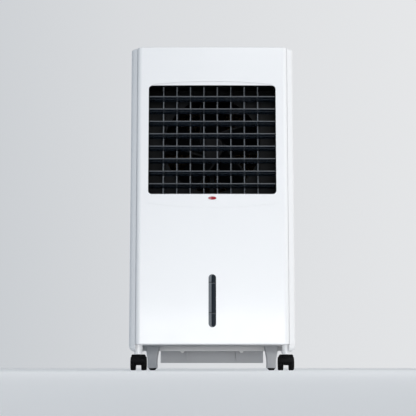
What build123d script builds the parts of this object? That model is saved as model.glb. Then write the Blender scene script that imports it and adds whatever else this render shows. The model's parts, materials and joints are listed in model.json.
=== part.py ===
from build123d import *
import math
import os

# Portable evaporative cooler: a white cabinet on two front casters and two rear feet.
# Units are millimetres. +X is right seen from the front, +Y runs to the back, +Z is up.
# The origin is on the floor, under the centre of the bounding box.

# ---- overall size ----
WIDTH = 397.0
DEPTH = 330.0
HEIGHT = 782.0

# ---- shell ----
WALL = 3.0
SHELL_FRONT_SET = 13.5
SHELL_REAR_SET = 3.0
FRONT_EDGE_W = 15.7
FRONT_EDGE_L = 16.0
SIDE_CORNER_R = 25.0
REAR_EDGE_R = 12.0
SKIRT_Z = 60.0
COVER_H = 37.0
SEAM = 0.3
REAR_RETURN = 28.5

# ---- front panel ----
PANEL_WALL = 3.5
PANEL_BOW = 3.2
PANEL_EDGE_R = 12.0
PANEL_DEPTH = 17.2
PANEL_TOP_R = 3.0
OUTLET_SIDE_ROOM = 44.5
OUTLET_H = 267.4
OUTLET_R = 9.0
OUTLET_DROP = 229.7
CREST_RISE = 10.0
CREST_SIDE_RISE = 2.4
CREST_END_ROOM = 9.0
CREST_DEPTH = 1.0
CREST_TAPER = 45.0
CREST_LEAD = 0.5
CREST_LINE_W = 1.8
CREST_LINE_DEPTH = 2.4
GROOVE_DROP = 33.2
GROOVE_END_REACH = 6.0
GROOVE_SAG = 11.6
GROOVE_W = 1.2
GROOVE_DEPTH = 0.7
BADGE_W = 19.4
BADGE_H = 7.7
BADGE_DROP = 10.0
BADGE_PROUD = 0.8
BADGE_INLAY = 1.0
WINDOW_W = 18.0
WINDOW_H = 125.5
WINDOW_Z = 163.3
WINDOW_LIP = 2.5
WINDOW_LIP_T = 1.6
WINDOW_RECESS = 0.6
MARK_RISE = 43.7
MARK_DROP = 28.3
MARK_W = 1.2
MARK_DEPTH = 0.5

# ---- air outlet ----
DUCT_WALL = 2.5
DUCT_SIDE_ROOM = 6.0
DUCT_TOP_ROOM = 5.4
DUCT_FLOOR_ROOM = 9.6
DUCT_FRONT_SET = 7.0
LOUVRE_COUNT = 8
LOUVRE_CHORD = 27.0
LOUVRE_T = 1.8
LOUVRE_LIP = 2.6
LOUVRE_TILT = 16.5
LOUVRE_TOP_DROP = 29.3
LOUVRE_BOTTOM_RISE = 23.2
LOUVRE_SETBACK = 23.7
LOUVRE_END_GAP = 0.5
PIVOT_R = 1.5
PIVOT_FIT = 0.05
CRANK_R = 1.2
LOUVRE_CRANK = 8.0
LINK_W = 5.0
LINK_T = 2.4
LINK_GAP = 0.6
LINK_FIT = 0.3
VANE_COUNT = 8
VANE_SIDE_ROOM = 38.5
VANE_OFFSET = -1.5
VANE_FRONT_ARM = 16.0
VANE_REAR_ARM = 10.0
VANE_T = 1.6
VANE_BEAD = 2.6
VANE_ANGLE = -9.0
VANE_SETBACK = 31.5
VANE_CRANK = 8.0
VANE_END_GAP = 1.0
MOTOR_SHAFT_R = 2.0
SWING_MOTOR_R = 12.0
SWING_MOTOR_H = 14.0

# ---- fan ----
BULKHEAD_T = 3.0
BULKHEAD_Y = -84.0
FAN_R = 115.0
FAN_TIP_GAP = 4.0
FAN_HUB_R = 32.0
FAN_FRONT_GAP = 21.0
FAN_LENGTH = 40.0
FAN_BLADES = 5
FAN_PITCH = 35.0
FAN_BLADE_T = 2.5
FAN_SHAFT_R = 4.0
FAN_SHAFT_FIT = 0.05
DUCT_RING_T = 3.0
DUCT_RING_LENGTH = 91.0
SPIDER_T = 8.0
SPIDER_W = 12.0
SPIDER_RING_R = 46.0
SPIDER_BORE_R = 20.0
FAN_MOTOR_R = 45.0
FAN_MOTOR_LENGTH = 50.0

# ---- water side ----
DECK_Z = 258.0
DECK_T = 3.0
PAD_SIDE_ROOM = 43.5
PAD_T = 30.0
PAD_Y = 95.0
PAD_FOOT = 14.0
PAD_HEAD_ROOM = 55.0
PAD_GAP = 0.4
PAD_FRAME_WALL = 3.0
TRAY_WALL = 2.0
TRAY_H = 22.0
TRAY_SIDE_REACH = 5.0
DRIP_R = 1.5
DRIP_COUNT = 12
TANK_SIDE_ROOM = 30.5
TANK_WALL = 3.0
TANK_H = 186.0
TANK_FLOOR_GAP = 0.4
TANK_FRONT_Y = -140.0
TANK_REAR_Y = 160.0
TANK_EDGE_R = 10.0
HANDLE_W = 110.0
HANDLE_H = 30.0
HANDLE_DEPTH = 24.0
HANDLE_DROP = 22.0
DRAIN_SIDE_ROOM = 48.0
DRAIN_RISE = 16.0
DRAIN_R = 6.0
DRAIN_CAP_R = 9.5
DRAIN_FIT = 0.1
PUMP_SIDE_ROOM = 33.0
PUMP_Y = 65.0
PUMP_W = 46.0
PUMP_D = 46.0
PUMP_H = 56.0
PUMP_FLOOR_GAP = 8.0
PUMP_ARM_W = 24.0
PUMP_ARM_T = 6.0
HOSE_R = 4.0
HOSE_BORE_R = 2.8
HOSE_BEND_R = 20.0
HOSE_HOLE_GAP = 3.0

# ---- rear ----
GRILLE_GAP = 1.0
GRILLE_BORDER = 12.0
GRILLE_T = 8.0
SLAT_T = 3.0
SLAT_DEPTH = 6.0
SLAT_PITCH = 12.0
SLAT_ANGLE = 25.0
RIB_COUNT = 5
RIB_W = 3.0
RIB_D = 5.0
FILTER_T = 1.6
FILTER_SIDE_ROOM = 9.0
FILTER_BORDER = 6.0
FILTER_WIRE = 1.2
FILTER_PITCH = 24.0
INLET_SIDE_ROOM = 14.5
INLET_Z = 200.0
INLET_R = 7.0
INLET_FLANGE_R = 9.0
INLET_FLANGE_T = 2.4
INLET_BORE_R = 3.6

# ---- top controls ----
FASCIA_W = 200.0
FASCIA_D = 70.0
FASCIA_T = 2.5
FASCIA_Y = -95.0
FASCIA_SINK = 1.5
FASCIA_LEDGE = 8.0
BUTTON_COUNT = 4
BUTTON_PITCH = 34.0
BUTTON_R = 7.0
BUTTON_GAP = 0.3
BUTTON_PROUD = 1.3
BUTTON_LIP = 1.4
BUTTON_LIP_T = 1.0
BUTTON_STEM_R = 2.5
BUTTON_STEM_L = 5.0
BUTTON_TRAVEL = 1.0
BUTTON_PLAY = 0.3
BOARD_T = 1.6
BOARD_W = 180.0
BOARD_D = 56.0
SWITCH_H = 2.0
SWITCH_R = 3.0

# ---- base ----
PAN_RAIL_H = 16.0
PAN_RAIL_T = 16.5
PAN_EDGE_R = 14.0
PAN_FLOOR_T = 4.0
PAN_FLOOR_RISE = 2.0
PAN_REAR_RAIL_Y = 120.0
PAN_REAR_RAIL_D = 36.0
PAN_REAR_RAIL_H = 13.0
RAIL_BOSS_X = 77.0
RAIL_BOSS_R = 5.0
RAIL_BOSS_D = 16.0
CASTER_SIDE_ROOM = 22.5
CASTER_Y = -125.0
CASTER_BOSS_R = 9.5
CASTER_GAP = 0.5
CASTER_TRAIL = 12.0
CASTER_WHEEL_R = 16.5
CASTER_WIDTH = 38.5
CASTER_WEB = 12.4
CASTER_HOOD_W = 33.0
CASTER_HOOD_REACH = 4.5
CASTER_WHEEL_GAP = 0.8
CASTER_SIDE_GAP = 0.5
AXLE_R = 2.0
AXLE_FIT = 0.05
STEM_R = 4.0
STEM_FIT = 0.05
STEM_UP = 20.0
STEM_DOWN = 11.5
STEM_BOTTOM_GAP = 0.5
LEG_SIDE_ROOM = 45.5
LEG_Y = 102.0
LEG_D = 28.0
LEG_TOP_W = 37.0
LEG_FOOT_W = 25.0
LEG_WAIST_Z = 28.0
FOOT_H = 5.5
FOOT_TOP_R = 11.0
FOOT_BOTTOM_R = 6.5
CROSSBAR_END_ROOM = 19.0
CROSSBAR_Y = 140.0
CROSSBAR_T = 4.0
CROSSBAR_BOTTOM_Z = 18.5
CROSSBAR_RIB_X = 64.5
CROSSBAR_RIB_T = 3.4
CROSSBAR_RIB_D = 16.0
CROSSBAR_RIB_RISE = 6.5
CROSSBAR_GROOVE_W = 1.6
CROSSBAR_GROOVE_DEPTH = 1.0
CROSSBAR_GROOVE_X = 76.0
CROSSBAR_GROOVE_END = 128.0
CROSSBAR_GROOVE_RISES = (8.0, 15.0, 22.0)
SCREW_SIDE_ROOM = 15.5
SCREW_YS = (-60.0, 20.0, 85.0)
SCREW_R = 1.6
SCREW_FIT = 0.1
SCREW_L = 16.0
SCREW_HEAD_R = 3.6
SCREW_HEAD_H = 2.4
SCREW_SLOT_W = 1.0
SCREW_SLOT_L = 4.4
SCREW_BOSS_R = 5.0
SCREW_BOSS_H = 22.0
SCREW_RIB_T = 3.0

# ---- places worked out from the sizes above ----
FRONT_Y = -DEPTH / 2
BACK_Y = DEPTH / 2
PANEL_Y = FRONT_Y + BADGE_PROUD
SHELL_HALF = WIDTH / 2
REAR_OPENING_HALF = SHELL_HALF - REAR_RETURN
OUTLET_W = 2 * (SHELL_HALF - OUTLET_SIDE_ROOM)
OUTLET_Z = HEIGHT - OUTLET_DROP
CREST_HALF = OUTLET_W / 2 - CREST_END_ROOM
GROOVE_HALF = OUTLET_W / 2 + GROOVE_END_REACH
SHELL_Y0 = FRONT_Y + SHELL_FRONT_SET
SHELL_Y1 = BACK_Y - SHELL_REAR_SET
PANEL_HALF = SHELL_HALF - FRONT_EDGE_W - SEAM
PANEL_BACK_Y = PANEL_Y + PANEL_DEPTH
COVER_Z = HEIGHT - COVER_H
DUCT_HALF = OUTLET_W / 2 + DUCT_SIDE_ROOM
DUCT_TOP = OUTLET_Z + OUTLET_H / 2 + DUCT_TOP_ROOM
DUCT_FLOOR = OUTLET_Z - OUTLET_H / 2 - DUCT_FLOOR_ROOM
DUCT_Y0 = FRONT_Y + DUCT_FRONT_SET
LOUVRE_Y = FRONT_Y + LOUVRE_SETBACK
LOUVRE_HALF = OUTLET_W / 2 - LOUVRE_END_GAP
LOUVRE_PITCH = (OUTLET_H - LOUVRE_TOP_DROP - LOUVRE_BOTTOM_RISE) / (LOUVRE_COUNT - 1)
LOUVRE_TOP_Z = OUTLET_Z + OUTLET_H / 2 - LOUVRE_TOP_DROP
LOUVRE_ZS = [LOUVRE_TOP_Z - i * LOUVRE_PITCH for i in range(LOUVRE_COUNT)]
VANE_Y = LOUVRE_Y + VANE_SETBACK
VANE_PITCH = (OUTLET_W - 2 * VANE_SIDE_ROOM) / (VANE_COUNT - 1)
VANE_XS = [VANE_OFFSET + (i - (VANE_COUNT - 1) / 2) * VANE_PITCH for i in range(VANE_COUNT)]
VANE_LINK_Z = DUCT_FLOOR + VANE_END_GAP
VANE_BOTTOM = VANE_LINK_Z + LINK_T + LINK_GAP
VANE_TOP = DUCT_TOP - VANE_END_GAP
BULKHEAD_BACK_Y = BULKHEAD_Y + BULKHEAD_T
RING_R = FAN_R + FAN_TIP_GAP
RING_BACK_Y = BULKHEAD_BACK_Y + DUCT_RING_LENGTH
FAN_Y0 = BULKHEAD_BACK_Y + FAN_FRONT_GAP
FAN_Y1 = FAN_Y0 + FAN_LENGTH
DECK_TOP = DECK_Z + DECK_T
PAD_Z0 = DECK_TOP + PAD_FOOT
PAD_Z1 = COVER_Z - PAD_HEAD_ROOM
PAD_HALF = SHELL_HALF - PAD_SIDE_ROOM
TRAY_HALF = PAD_HALF + TRAY_SIDE_REACH
PAD_MID_Y = PAD_Y + PAD_T / 2
TRAY_Z0 = PAD_Z1 + PAD_GAP + PAD_FRAME_WALL
PAN_TOP = SKIRT_Z + PAN_FLOOR_RISE + PAN_FLOOR_T
TANK_Z0 = PAN_TOP + TANK_FLOOR_GAP
TANK_Z1 = TANK_Z0 + TANK_H
TANK_HALF = SHELL_HALF - TANK_SIDE_ROOM
DRAIN_X = DRAIN_SIDE_ROOM - TANK_HALF
PUMP_X = TANK_HALF - PUMP_SIDE_ROOM
HOSE_TOP_Z = COVER_Z
GRILLE_Z0 = DECK_TOP + 1.0
GRILLE_Z1 = COVER_Z - 2.0
GRILLE_Y0 = BACK_Y - GRILLE_T
GRILLE_HALF = REAR_OPENING_HALF - GRILLE_GAP
FILTER_HALF = GRILLE_HALF - FILTER_SIDE_ROOM
INLET_X = INLET_SIDE_ROOM - SHELL_HALF
FASCIA_TOP = HEIGHT - FASCIA_SINK
FASCIA_BOTTOM = FASCIA_TOP - FASCIA_T
BUTTON_XS = [(i - (BUTTON_COUNT - 1) / 2) * BUTTON_PITCH for i in range(BUTTON_COUNT)]
BUTTON_FOOT_Z = FASCIA_BOTTOM - BUTTON_LIP_T - BUTTON_STEM_L
BOARD_TOP = BUTTON_FOOT_Z - BUTTON_TRAVEL - BUTTON_PLAY - SWITCH_H
CASTER_X = SHELL_HALF - CASTER_SIDE_ROOM
CASTER_HOOD_R = CASTER_WHEEL_R + CASTER_HOOD_REACH
BOSS_FOOT_Z = CASTER_WHEEL_R + CASTER_HOOD_R + CASTER_GAP
AXLE_Y = CASTER_Y + CASTER_TRAIL
LEG_X = SHELL_HALF - LEG_SIDE_ROOM
LEG_TOP_Z = SKIRT_Z + PAN_FLOOR_RISE
CROSSBAR_HALF = LEG_X - CROSSBAR_END_ROOM
SCREW_X = SHELL_HALF - SCREW_SIDE_ROOM
REAR_RAIL_Z0 = LEG_TOP_Z - PAN_REAR_RAIL_H
LINK_HOLE_R = CRANK_R + LINK_FIT


def block(x0, x1, y0, y1, z0, z1):
    """A box between two corners."""
    centre = Pos((x0 + x1) / 2, (y0 + y1) / 2, (z0 + z1) / 2)
    return centre * Box(x1 - x0, y1 - y0, z1 - z0)


def rod_x(x0, x1, y, z, radius):
    return Pos((x0 + x1) / 2, y, z) * Rot(0, 90, 0) * Cylinder(radius, x1 - x0)


def rod_y(x, y0, y1, z, radius):
    return Pos(x, (y0 + y1) / 2, z) * Rot(90, 0, 0) * Cylinder(radius, y1 - y0)


def rod_z(x, y, z0, z1, radius):
    return Pos(x, y, (z0 + z1) / 2) * Cylinder(radius, z1 - z0)


def facing_front(face, y0, y1):
    """Extrude a face drawn as (x, z) from y0 to y1."""
    return Pos(0, y1, 0) * Rot(90, 0, 0) * extrude(face, amount=y1 - y0)


def shell_section(inset, y0, y1):
    """The outline of the cabinet seen from above, with sloping front corners."""
    half = SHELL_HALF - inset
    slope = math.hypot(FRONT_EDGE_W, FRONT_EDGE_L)
    front_x = SHELL_HALF - FRONT_EDGE_W - inset * (slope - FRONT_EDGE_W) / FRONT_EDGE_L
    side_y = y0 + FRONT_EDGE_L - inset * (1 - (slope - FRONT_EDGE_L) / FRONT_EDGE_W)
    points = [(-half, y1), (-half, side_y), (-front_x, y0), (front_x, y0), (half, side_y), (half, y1)]
    outline = make_face(Polyline(*points, close=True))
    outline = fillet(outline.vertices().group_by(Axis.Y)[-1], REAR_EDGE_R - inset)
    side_corners = [v for v in outline.vertices() if abs(v.Y - side_y) < SEAM]
    return fillet(side_corners, SIDE_CORNER_R - inset)


def panel_volume(inset):
    """The bowed block of the front panel, pulled in by an inset on its outside."""
    half = PANEL_HALF - inset
    edge_y = PANEL_Y + PANEL_BOW + inset
    left = Line((-half, PANEL_BACK_Y), (-half, edge_y))
    bow = ThreePointArc((-half, edge_y), (0, PANEL_Y + inset), (half, edge_y))
    right = Line((half, edge_y), (half, PANEL_BACK_Y))
    back = Line((half, PANEL_BACK_Y), (-half, PANEL_BACK_Y))
    face = make_face(Curve() + [left, bow, right, back])
    face = fillet(face.vertices().group_by(Axis.Y)[0], PANEL_EDGE_R - inset)
    volume = extrude(face, amount=HEIGHT - SKIRT_Z - 2 * inset)
    return Pos(0, 0, SKIRT_Z + inset) * volume


def crest_cut():
    """The crescent-shaped scoop over the air outlet, with a sloping upper edge."""
    edge = OUTLET_Z + OUTLET_H / 2
    side = edge + CREST_SIDE_RISE
    low = edge - CREST_RISE
    arch = ThreePointArc((-CREST_HALF, side), (0, edge + CREST_RISE), (CREST_HALF, side))
    right = Line((CREST_HALF, side), (CREST_HALF, low))
    base = Line((CREST_HALF, low), (-CREST_HALF, low))
    left = Line((-CREST_HALF, low), (-CREST_HALF, side))
    face = make_face(Curve() + [arch, right, base, left])
    scoop = extrude(face, amount=CREST_DEPTH + CREST_LEAD, taper=CREST_TAPER)
    scoop = mirror(scoop, about=Plane.XY)
    return Pos(0, PANEL_Y - CREST_LEAD, 0) * Rot(90, 0, 0) * scoop


def crest_line_cut():
    """The narrow groove that follows the scoop's upper edge."""
    edge = OUTLET_Z + OUTLET_H / 2
    side = edge + CREST_SIDE_RISE
    top = edge + CREST_RISE
    w = CREST_LINE_W
    upper = ThreePointArc((-CREST_HALF, side), (0, top), (CREST_HALF, side))
    right = Line((CREST_HALF, side), (CREST_HALF, side - w))
    lower = ThreePointArc((CREST_HALF, side - w), (0, top - w), (-CREST_HALF, side - w))
    left = Line((-CREST_HALF, side - w), (-CREST_HALF, side))
    face = make_face(Curve() + [upper, right, lower, left])
    return facing_front(face, FRONT_Y - 5, PANEL_BACK_Y) - panel_volume(CREST_LINE_DEPTH)


def groove_cut():
    """The thin arc line under the air outlet, of even depth on the bowed face."""
    radius = (GROOVE_HALF ** 2 + GROOVE_SAG ** 2) / (2 * GROOVE_SAG)
    lowest = OUTLET_Z - OUTLET_H / 2 - GROOVE_DROP
    ring = Circle(radius + GROOVE_W / 2) - Circle(radius - GROOVE_W / 2)
    reach = GROOVE_SAG + GROOVE_W
    ring &= Pos(0, -radius + reach / 2 - GROOVE_W) * Rectangle(2 * GROOVE_HALF, reach)
    prism = facing_front(Pos(0, lowest + radius) * ring, FRONT_Y - 5, PANEL_BACK_Y)
    return prism - panel_volume(GROOVE_DEPTH)


def front_panel():
    shell = panel_volume(0)
    rims = shell.edges().filter_by(GeomType.CIRCLE).group_by(Axis.Z)
    long_rims = [e for e in list(rims[0]) + list(rims[-1]) if e.length > PANEL_HALF]
    shell = fillet(long_rims, PANEL_TOP_R)
    shell -= panel_volume(PANEL_WALL)
    outlet = Pos(0, OUTLET_Z) * RectangleRounded(OUTLET_W, OUTLET_H, OUTLET_R)
    shell -= facing_front(outlet, FRONT_Y - 5, PANEL_BACK_Y)
    shell -= crest_cut()
    shell -= crest_line_cut()
    shell -= groove_cut()
    slot = Pos(0, WINDOW_Z) * SlotOverall(WINDOW_H, WINDOW_W, rotation=90)
    shell -= facing_front(slot, FRONT_Y - 5, PANEL_BACK_Y)
    badge_z = OUTLET_Z - OUTLET_H / 2 - BADGE_DROP
    pocket = Pos(0, badge_z) * Ellipse(BADGE_W / 2 + 0.05, BADGE_H / 2 + 0.05)
    shell -= facing_front(pocket, FRONT_Y - 5, PANEL_Y + BADGE_INLAY)
    return shell


def badge():
    badge_z = OUTLET_Z - OUTLET_H / 2 - BADGE_DROP
    face = Pos(0, badge_z) * Ellipse(BADGE_W / 2, BADGE_H / 2)
    return facing_front(face, FRONT_Y, PANEL_Y + BADGE_INLAY)


def level_window():
    """The smoked sight glass, clipped in from behind, with two level marks."""
    back = PANEL_Y + PANEL_WALL
    fit = 0.05
    slot = Pos(0, WINDOW_Z) * SlotOverall(WINDOW_H - 2 * fit, WINDOW_W - 2 * fit, rotation=90)
    lens = facing_front(slot, PANEL_Y + WINDOW_RECESS, back)
    lip_h = WINDOW_H + 2 * WINDOW_LIP
    lip_w = WINDOW_W + 2 * WINDOW_LIP
    lip = Pos(0, WINDOW_Z) * SlotOverall(lip_h, lip_w, rotation=90)
    lens += facing_front(lip, back + fit, back + fit + WINDOW_LIP_T)
    slot_neck = Pos(0, WINDOW_Z) * SlotOverall(WINDOW_H - 4, WINDOW_W - 4, rotation=90)
    lens += facing_front(slot_neck, back - 1, back + fit + 1)
    for z in (WINDOW_Z + MARK_RISE, WINDOW_Z - MARK_DROP):
        front = PANEL_Y + WINDOW_RECESS
        mark = block(-WINDOW_W, WINDOW_W, front - 1, front + MARK_DEPTH, z - MARK_W / 2, z + MARK_W / 2)
        lens -= mark
    return lens


def outlet_frame():
    """The black duct that carries the louvres and the vanes."""
    wall = DUCT_WALL
    outer = DUCT_HALF + wall
    frame = block(-outer, outer, DUCT_Y0, BULKHEAD_Y, DUCT_FLOOR - wall, DUCT_TOP + wall)
    frame -= block(-DUCT_HALF, DUCT_HALF, DUCT_Y0 - 1, BULKHEAD_Y + 1, DUCT_FLOOR, DUCT_TOP)
    for z in LOUVRE_ZS:
        frame -= rod_x(-DUCT_HALF - 2 * wall, DUCT_HALF + 2 * wall, LOUVRE_Y, z, PIVOT_R + PIVOT_FIT)
    for x in VANE_XS:
        frame -= rod_z(x, VANE_Y, DUCT_FLOOR - 2 * wall, DUCT_FLOOR + 1, PIVOT_R + PIVOT_FIT)
    for x in VANE_XS[1:]:
        frame -= rod_z(x, VANE_Y, DUCT_TOP - 1, DUCT_TOP + 2 * wall, PIVOT_R + PIVOT_FIT)
    frame -= rod_z(VANE_XS[0], VANE_Y, DUCT_TOP - 1, DUCT_TOP + 2 * wall, MOTOR_SHAFT_R + PIVOT_FIT)
    return frame


def louvre(z, driven):
    """One horizontal blade with a thick front lip, end pins and a crank pin."""
    blade_face = Rectangle(LOUVRE_CHORD, LOUVRE_T)
    blade_face = fillet(blade_face.vertices(), LOUVRE_T * 0.45)
    lip = Pos(-LOUVRE_CHORD / 2 + LOUVRE_LIP / 2) * Circle(LOUVRE_LIP / 2)
    section = Plane.YZ * (blade_face + lip)
    blade = Pos(-LOUVRE_HALF, 0, 0) * extrude(section, amount=2 * LOUVRE_HALF)
    pin_end = DUCT_HALF + DUCT_WALL - 0.5
    blade += rod_x(-pin_end, pin_end, 0, 0, PIVOT_R)
    crank_r = LINK_HOLE_R - (PIVOT_FIT if driven else LINK_FIT)
    crank_end = LOUVRE_HALF + LINK_GAP + LINK_T
    blade += rod_x(LOUVRE_HALF - 4, crank_end, LOUVRE_CRANK, 0, crank_r)
    return Pos(0, LOUVRE_Y, z) * Rot(-LOUVRE_TILT, 0, 0) * blade


def louvre_link():
    """The upright bar that makes the louvres tilt together."""
    tilt = math.radians(LOUVRE_TILT)
    y = LOUVRE_Y + LOUVRE_CRANK * math.cos(tilt)
    drop = LOUVRE_CRANK * math.sin(tilt)
    x0 = LOUVRE_HALF + LINK_GAP
    half = LINK_W / 2
    z0 = LOUVRE_ZS[-1] - drop - half
    z1 = LOUVRE_ZS[0] - drop + half
    bar = block(x0, x0 + LINK_T, y - half, y + half, z0, z1)
    for z in LOUVRE_ZS:
        bar -= rod_x(x0 - 1, x0 + LINK_T + 1, y, z - drop, LINK_HOLE_R)
    return bar


def vane(index):
    """One upright vane with a beaded front edge, end pins and a crank pin."""
    blade = block(-VANE_T / 2, VANE_T / 2, -VANE_FRONT_ARM, VANE_REAR_ARM, VANE_BOTTOM, VANE_TOP)
    blade += rod_z(0, -VANE_FRONT_ARM + VANE_BEAD / 2, VANE_BOTTOM, VANE_TOP, VANE_BEAD / 2)
    blade += rod_z(0, 0, DUCT_FLOOR - DUCT_WALL + 0.5, VANE_BOTTOM + 5, PIVOT_R)
    driven = index == 0
    top_r = MOTOR_SHAFT_R if driven else PIVOT_R
    top_end = DUCT_TOP + DUCT_WALL + (SWING_MOTOR_H / 2 if driven else -0.5)
    blade += rod_z(0, 0, VANE_TOP - 5, top_end, top_r)
    crank_r = LINK_HOLE_R - (PIVOT_FIT if driven else LINK_FIT)
    blade += rod_z(0, VANE_CRANK, VANE_LINK_Z, VANE_BOTTOM + 5, crank_r)
    return Pos(VANE_XS[index], VANE_Y, 0) * Rot(0, 0, VANE_ANGLE) * blade


def vane_link():
    """The flat bar under the vanes that makes them swing together."""
    angle = math.radians(VANE_ANGLE)
    dx = -VANE_CRANK * math.sin(angle)
    dy = VANE_CRANK * math.cos(angle)
    half = LINK_W / 2
    y = VANE_Y + dy
    x0 = VANE_XS[0] + dx - half
    x1 = VANE_XS[-1] + dx + half
    top = VANE_LINK_Z + LINK_T
    bar = block(x0, x1, y - half, y + half, VANE_LINK_Z, top)
    for x in VANE_XS:
        bar -= rod_z(x + dx, y, VANE_LINK_Z - 1, top + 1, LINK_HOLE_R)
    return bar


def swing_motor():
    z0 = DUCT_TOP + DUCT_WALL
    body = rod_z(VANE_XS[0], VANE_Y, z0, z0 + SWING_MOTOR_H, SWING_MOTOR_R)
    ear = SWING_MOTOR_R + 8
    body += block(VANE_XS[0] - ear, VANE_XS[0] + ear, VANE_Y - 4, VANE_Y + 4, z0, z0 + 2)
    return body - rod_z(VANE_XS[0], VANE_Y, z0 - 1, z0 + SWING_MOTOR_H / 2 + 1, MOTOR_SHAFT_R + PIVOT_FIT)


def side_panel(side):
    """A side of the cabinet: side is +1 for the right one and -1 for the left one."""
    ring = shell_section(0, SHELL_Y0, SHELL_Y1) - shell_section(WALL, SHELL_Y0 + WALL, SHELL_Y1 - WALL)
    middle = (SHELL_Y0 + SHELL_Y1) / 2
    keep_rear = Pos(REAR_OPENING_HALF + 50, SHELL_Y1) * Rectangle(100, 2 * (SHELL_Y1 - middle))
    keep_front = Pos(PANEL_HALF + SEAM + 50, SHELL_Y0) * Rectangle(100, 2 * (middle - SHELL_Y0))
    section = ring & (keep_rear + keep_front)
    panel = Pos(0, 0, SKIRT_Z) * extrude(section, amount=COVER_Z - SKIRT_Z)
    inner = SHELL_HALF - WALL
    boss_top = PAN_TOP + SCREW_BOSS_H
    rib = SCREW_RIB_T / 2
    for y in SCREW_YS:
        panel += rod_z(SCREW_X, y, PAN_TOP, boss_top, SCREW_BOSS_R)
        panel += block(SCREW_X, inner + 1, y - rib, y + rib, PAN_TOP, boss_top)
        panel -= rod_z(SCREW_X, y, PAN_TOP - 1, boss_top - WALL, SCREW_R + SCREW_FIT)
    if side < 0:
        panel = mirror(panel, about=Plane.YZ)
        panel -= rod_y(INLET_X, SHELL_Y1 - 2 * WALL, SHELL_Y1 + 1, INLET_Z, INLET_R + 0.1)
    return panel


def top_cover():
    """The lid, with a sunk place for the controls and posts for the board."""
    body = extrude(shell_section(0, SHELL_Y0, SHELL_Y1), amount=COVER_H)
    body = fillet(body.edges().group_by(Axis.Z)[-1], 2.5)
    body = Pos(0, 0, COVER_Z) * body
    gap_y = PANEL_BACK_Y + SEAM
    gap_half = PANEL_HALF + SEAM
    body -= block(-gap_half, gap_half, SHELL_Y0 - 1, gap_y, COVER_Z - 1, HEIGHT + 1)
    hollow = shell_section(WALL, gap_y + WALL, SHELL_Y1 - WALL)
    body -= Pos(0, 0, COVER_Z - 1) * extrude(hollow, amount=COVER_H - WALL + 1)
    half_w = FASCIA_W / 2
    half_d = FASCIA_D / 2
    y0 = FASCIA_Y - half_d
    y1 = FASCIA_Y + half_d
    well_half = half_w + WALL
    body += block(-well_half, well_half, y0 - WALL, y1 + WALL, FASCIA_BOTTOM - WALL, HEIGHT - WALL + 0.5)
    body -= block(-half_w, half_w, y0, y1, FASCIA_BOTTOM, HEIGHT + 1)
    ledge = FASCIA_LEDGE
    body -= block(-half_w + ledge, half_w - ledge, y0 + ledge, y1 - ledge, COVER_Z, HEIGHT + 1)
    for x in (-BOARD_W / 2 + 4, BOARD_W / 2 - 4):
        for y in (FASCIA_Y - BOARD_D / 2 + 3, FASCIA_Y + BOARD_D / 2 - 3):
            body += rod_z(x, y, BOARD_TOP, FASCIA_BOTTOM - WALL + 0.5, 2.5)
    return body


def control_fascia():
    fit = 0.15
    half_w = FASCIA_W / 2 - fit
    half_d = FASCIA_D / 2 - fit
    plate = block(-half_w, half_w, FASCIA_Y - half_d, FASCIA_Y + half_d, FASCIA_BOTTOM, FASCIA_TOP)
    plate = fillet(plate.edges().filter_by(Axis.Z), 3)
    for x in BUTTON_XS:
        plate -= rod_z(x, FASCIA_Y, FASCIA_BOTTOM - 1, FASCIA_TOP + 1, BUTTON_R + BUTTON_GAP)
    return plate


def button(x):
    top = FASCIA_TOP + BUTTON_PROUD
    lip_top = FASCIA_BOTTOM
    cap = rod_z(x, FASCIA_Y, lip_top - BUTTON_LIP_T, top, BUTTON_R)
    cap = chamfer(cap.edges().group_by(Axis.Z)[-1], 0.6)
    cap += rod_z(x, FASCIA_Y, lip_top - BUTTON_LIP_T, lip_top, BUTTON_R + BUTTON_LIP)
    cap += rod_z(x, FASCIA_Y, BUTTON_FOOT_Z, lip_top - BUTTON_LIP_T, BUTTON_STEM_R)
    return cap


def control_board():
    half_w = BOARD_W / 2
    half_d = BOARD_D / 2
    board = block(-half_w, half_w, FASCIA_Y - half_d, FASCIA_Y + half_d, BOARD_TOP - BOARD_T, BOARD_TOP)
    for x in BUTTON_XS:
        board += rod_z(x, FASCIA_Y, BOARD_TOP - 0.5, BOARD_TOP + SWITCH_H, SWITCH_R)
    return board


def fan_bulkhead():
    """The partition with the fan's throat ring and the spider that holds the motor."""
    half = SHELL_HALF - WALL - SEAM
    plate = block(-half, half, BULKHEAD_Y, BULKHEAD_BACK_Y, DECK_TOP, COVER_Z - SEAM)
    plate += rod_y(0, BULKHEAD_Y, RING_BACK_Y, OUTLET_Z, RING_R + DUCT_RING_T)
    plate -= rod_y(0, BULKHEAD_Y - 1, RING_BACK_Y + 1, OUTLET_Z, RING_R)
    spider_y = RING_BACK_Y - SPIDER_T
    reach = RING_R + 1
    spider = rod_y(0, spider_y, RING_BACK_Y, OUTLET_Z, SPIDER_RING_R)
    arm = SPIDER_W / 2
    spider += block(-reach, reach, spider_y, RING_BACK_Y, OUTLET_Z - arm, OUTLET_Z + arm)
    spider += block(-arm, arm, spider_y, RING_BACK_Y, OUTLET_Z - reach, OUTLET_Z + reach)
    spider -= rod_y(0, spider_y - 1, RING_BACK_Y + 1, OUTLET_Z, SPIDER_BORE_R)
    return plate + spider


def fan_motor():
    body = rod_y(0, RING_BACK_Y, RING_BACK_Y + FAN_MOTOR_LENGTH, OUTLET_Z, FAN_MOTOR_R)
    body = fillet(body.edges().group_by(Axis.Y)[-1], 6)
    body += rod_y(0, RING_BACK_Y - 4, RING_BACK_Y + 1, OUTLET_Z, SPIDER_BORE_R - 0.2)
    depth = RING_BACK_Y + FAN_MOTOR_LENGTH / 2
    return body - rod_y(0, RING_BACK_Y - 5, depth, OUTLET_Z, FAN_SHAFT_R + FAN_SHAFT_FIT)


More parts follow.
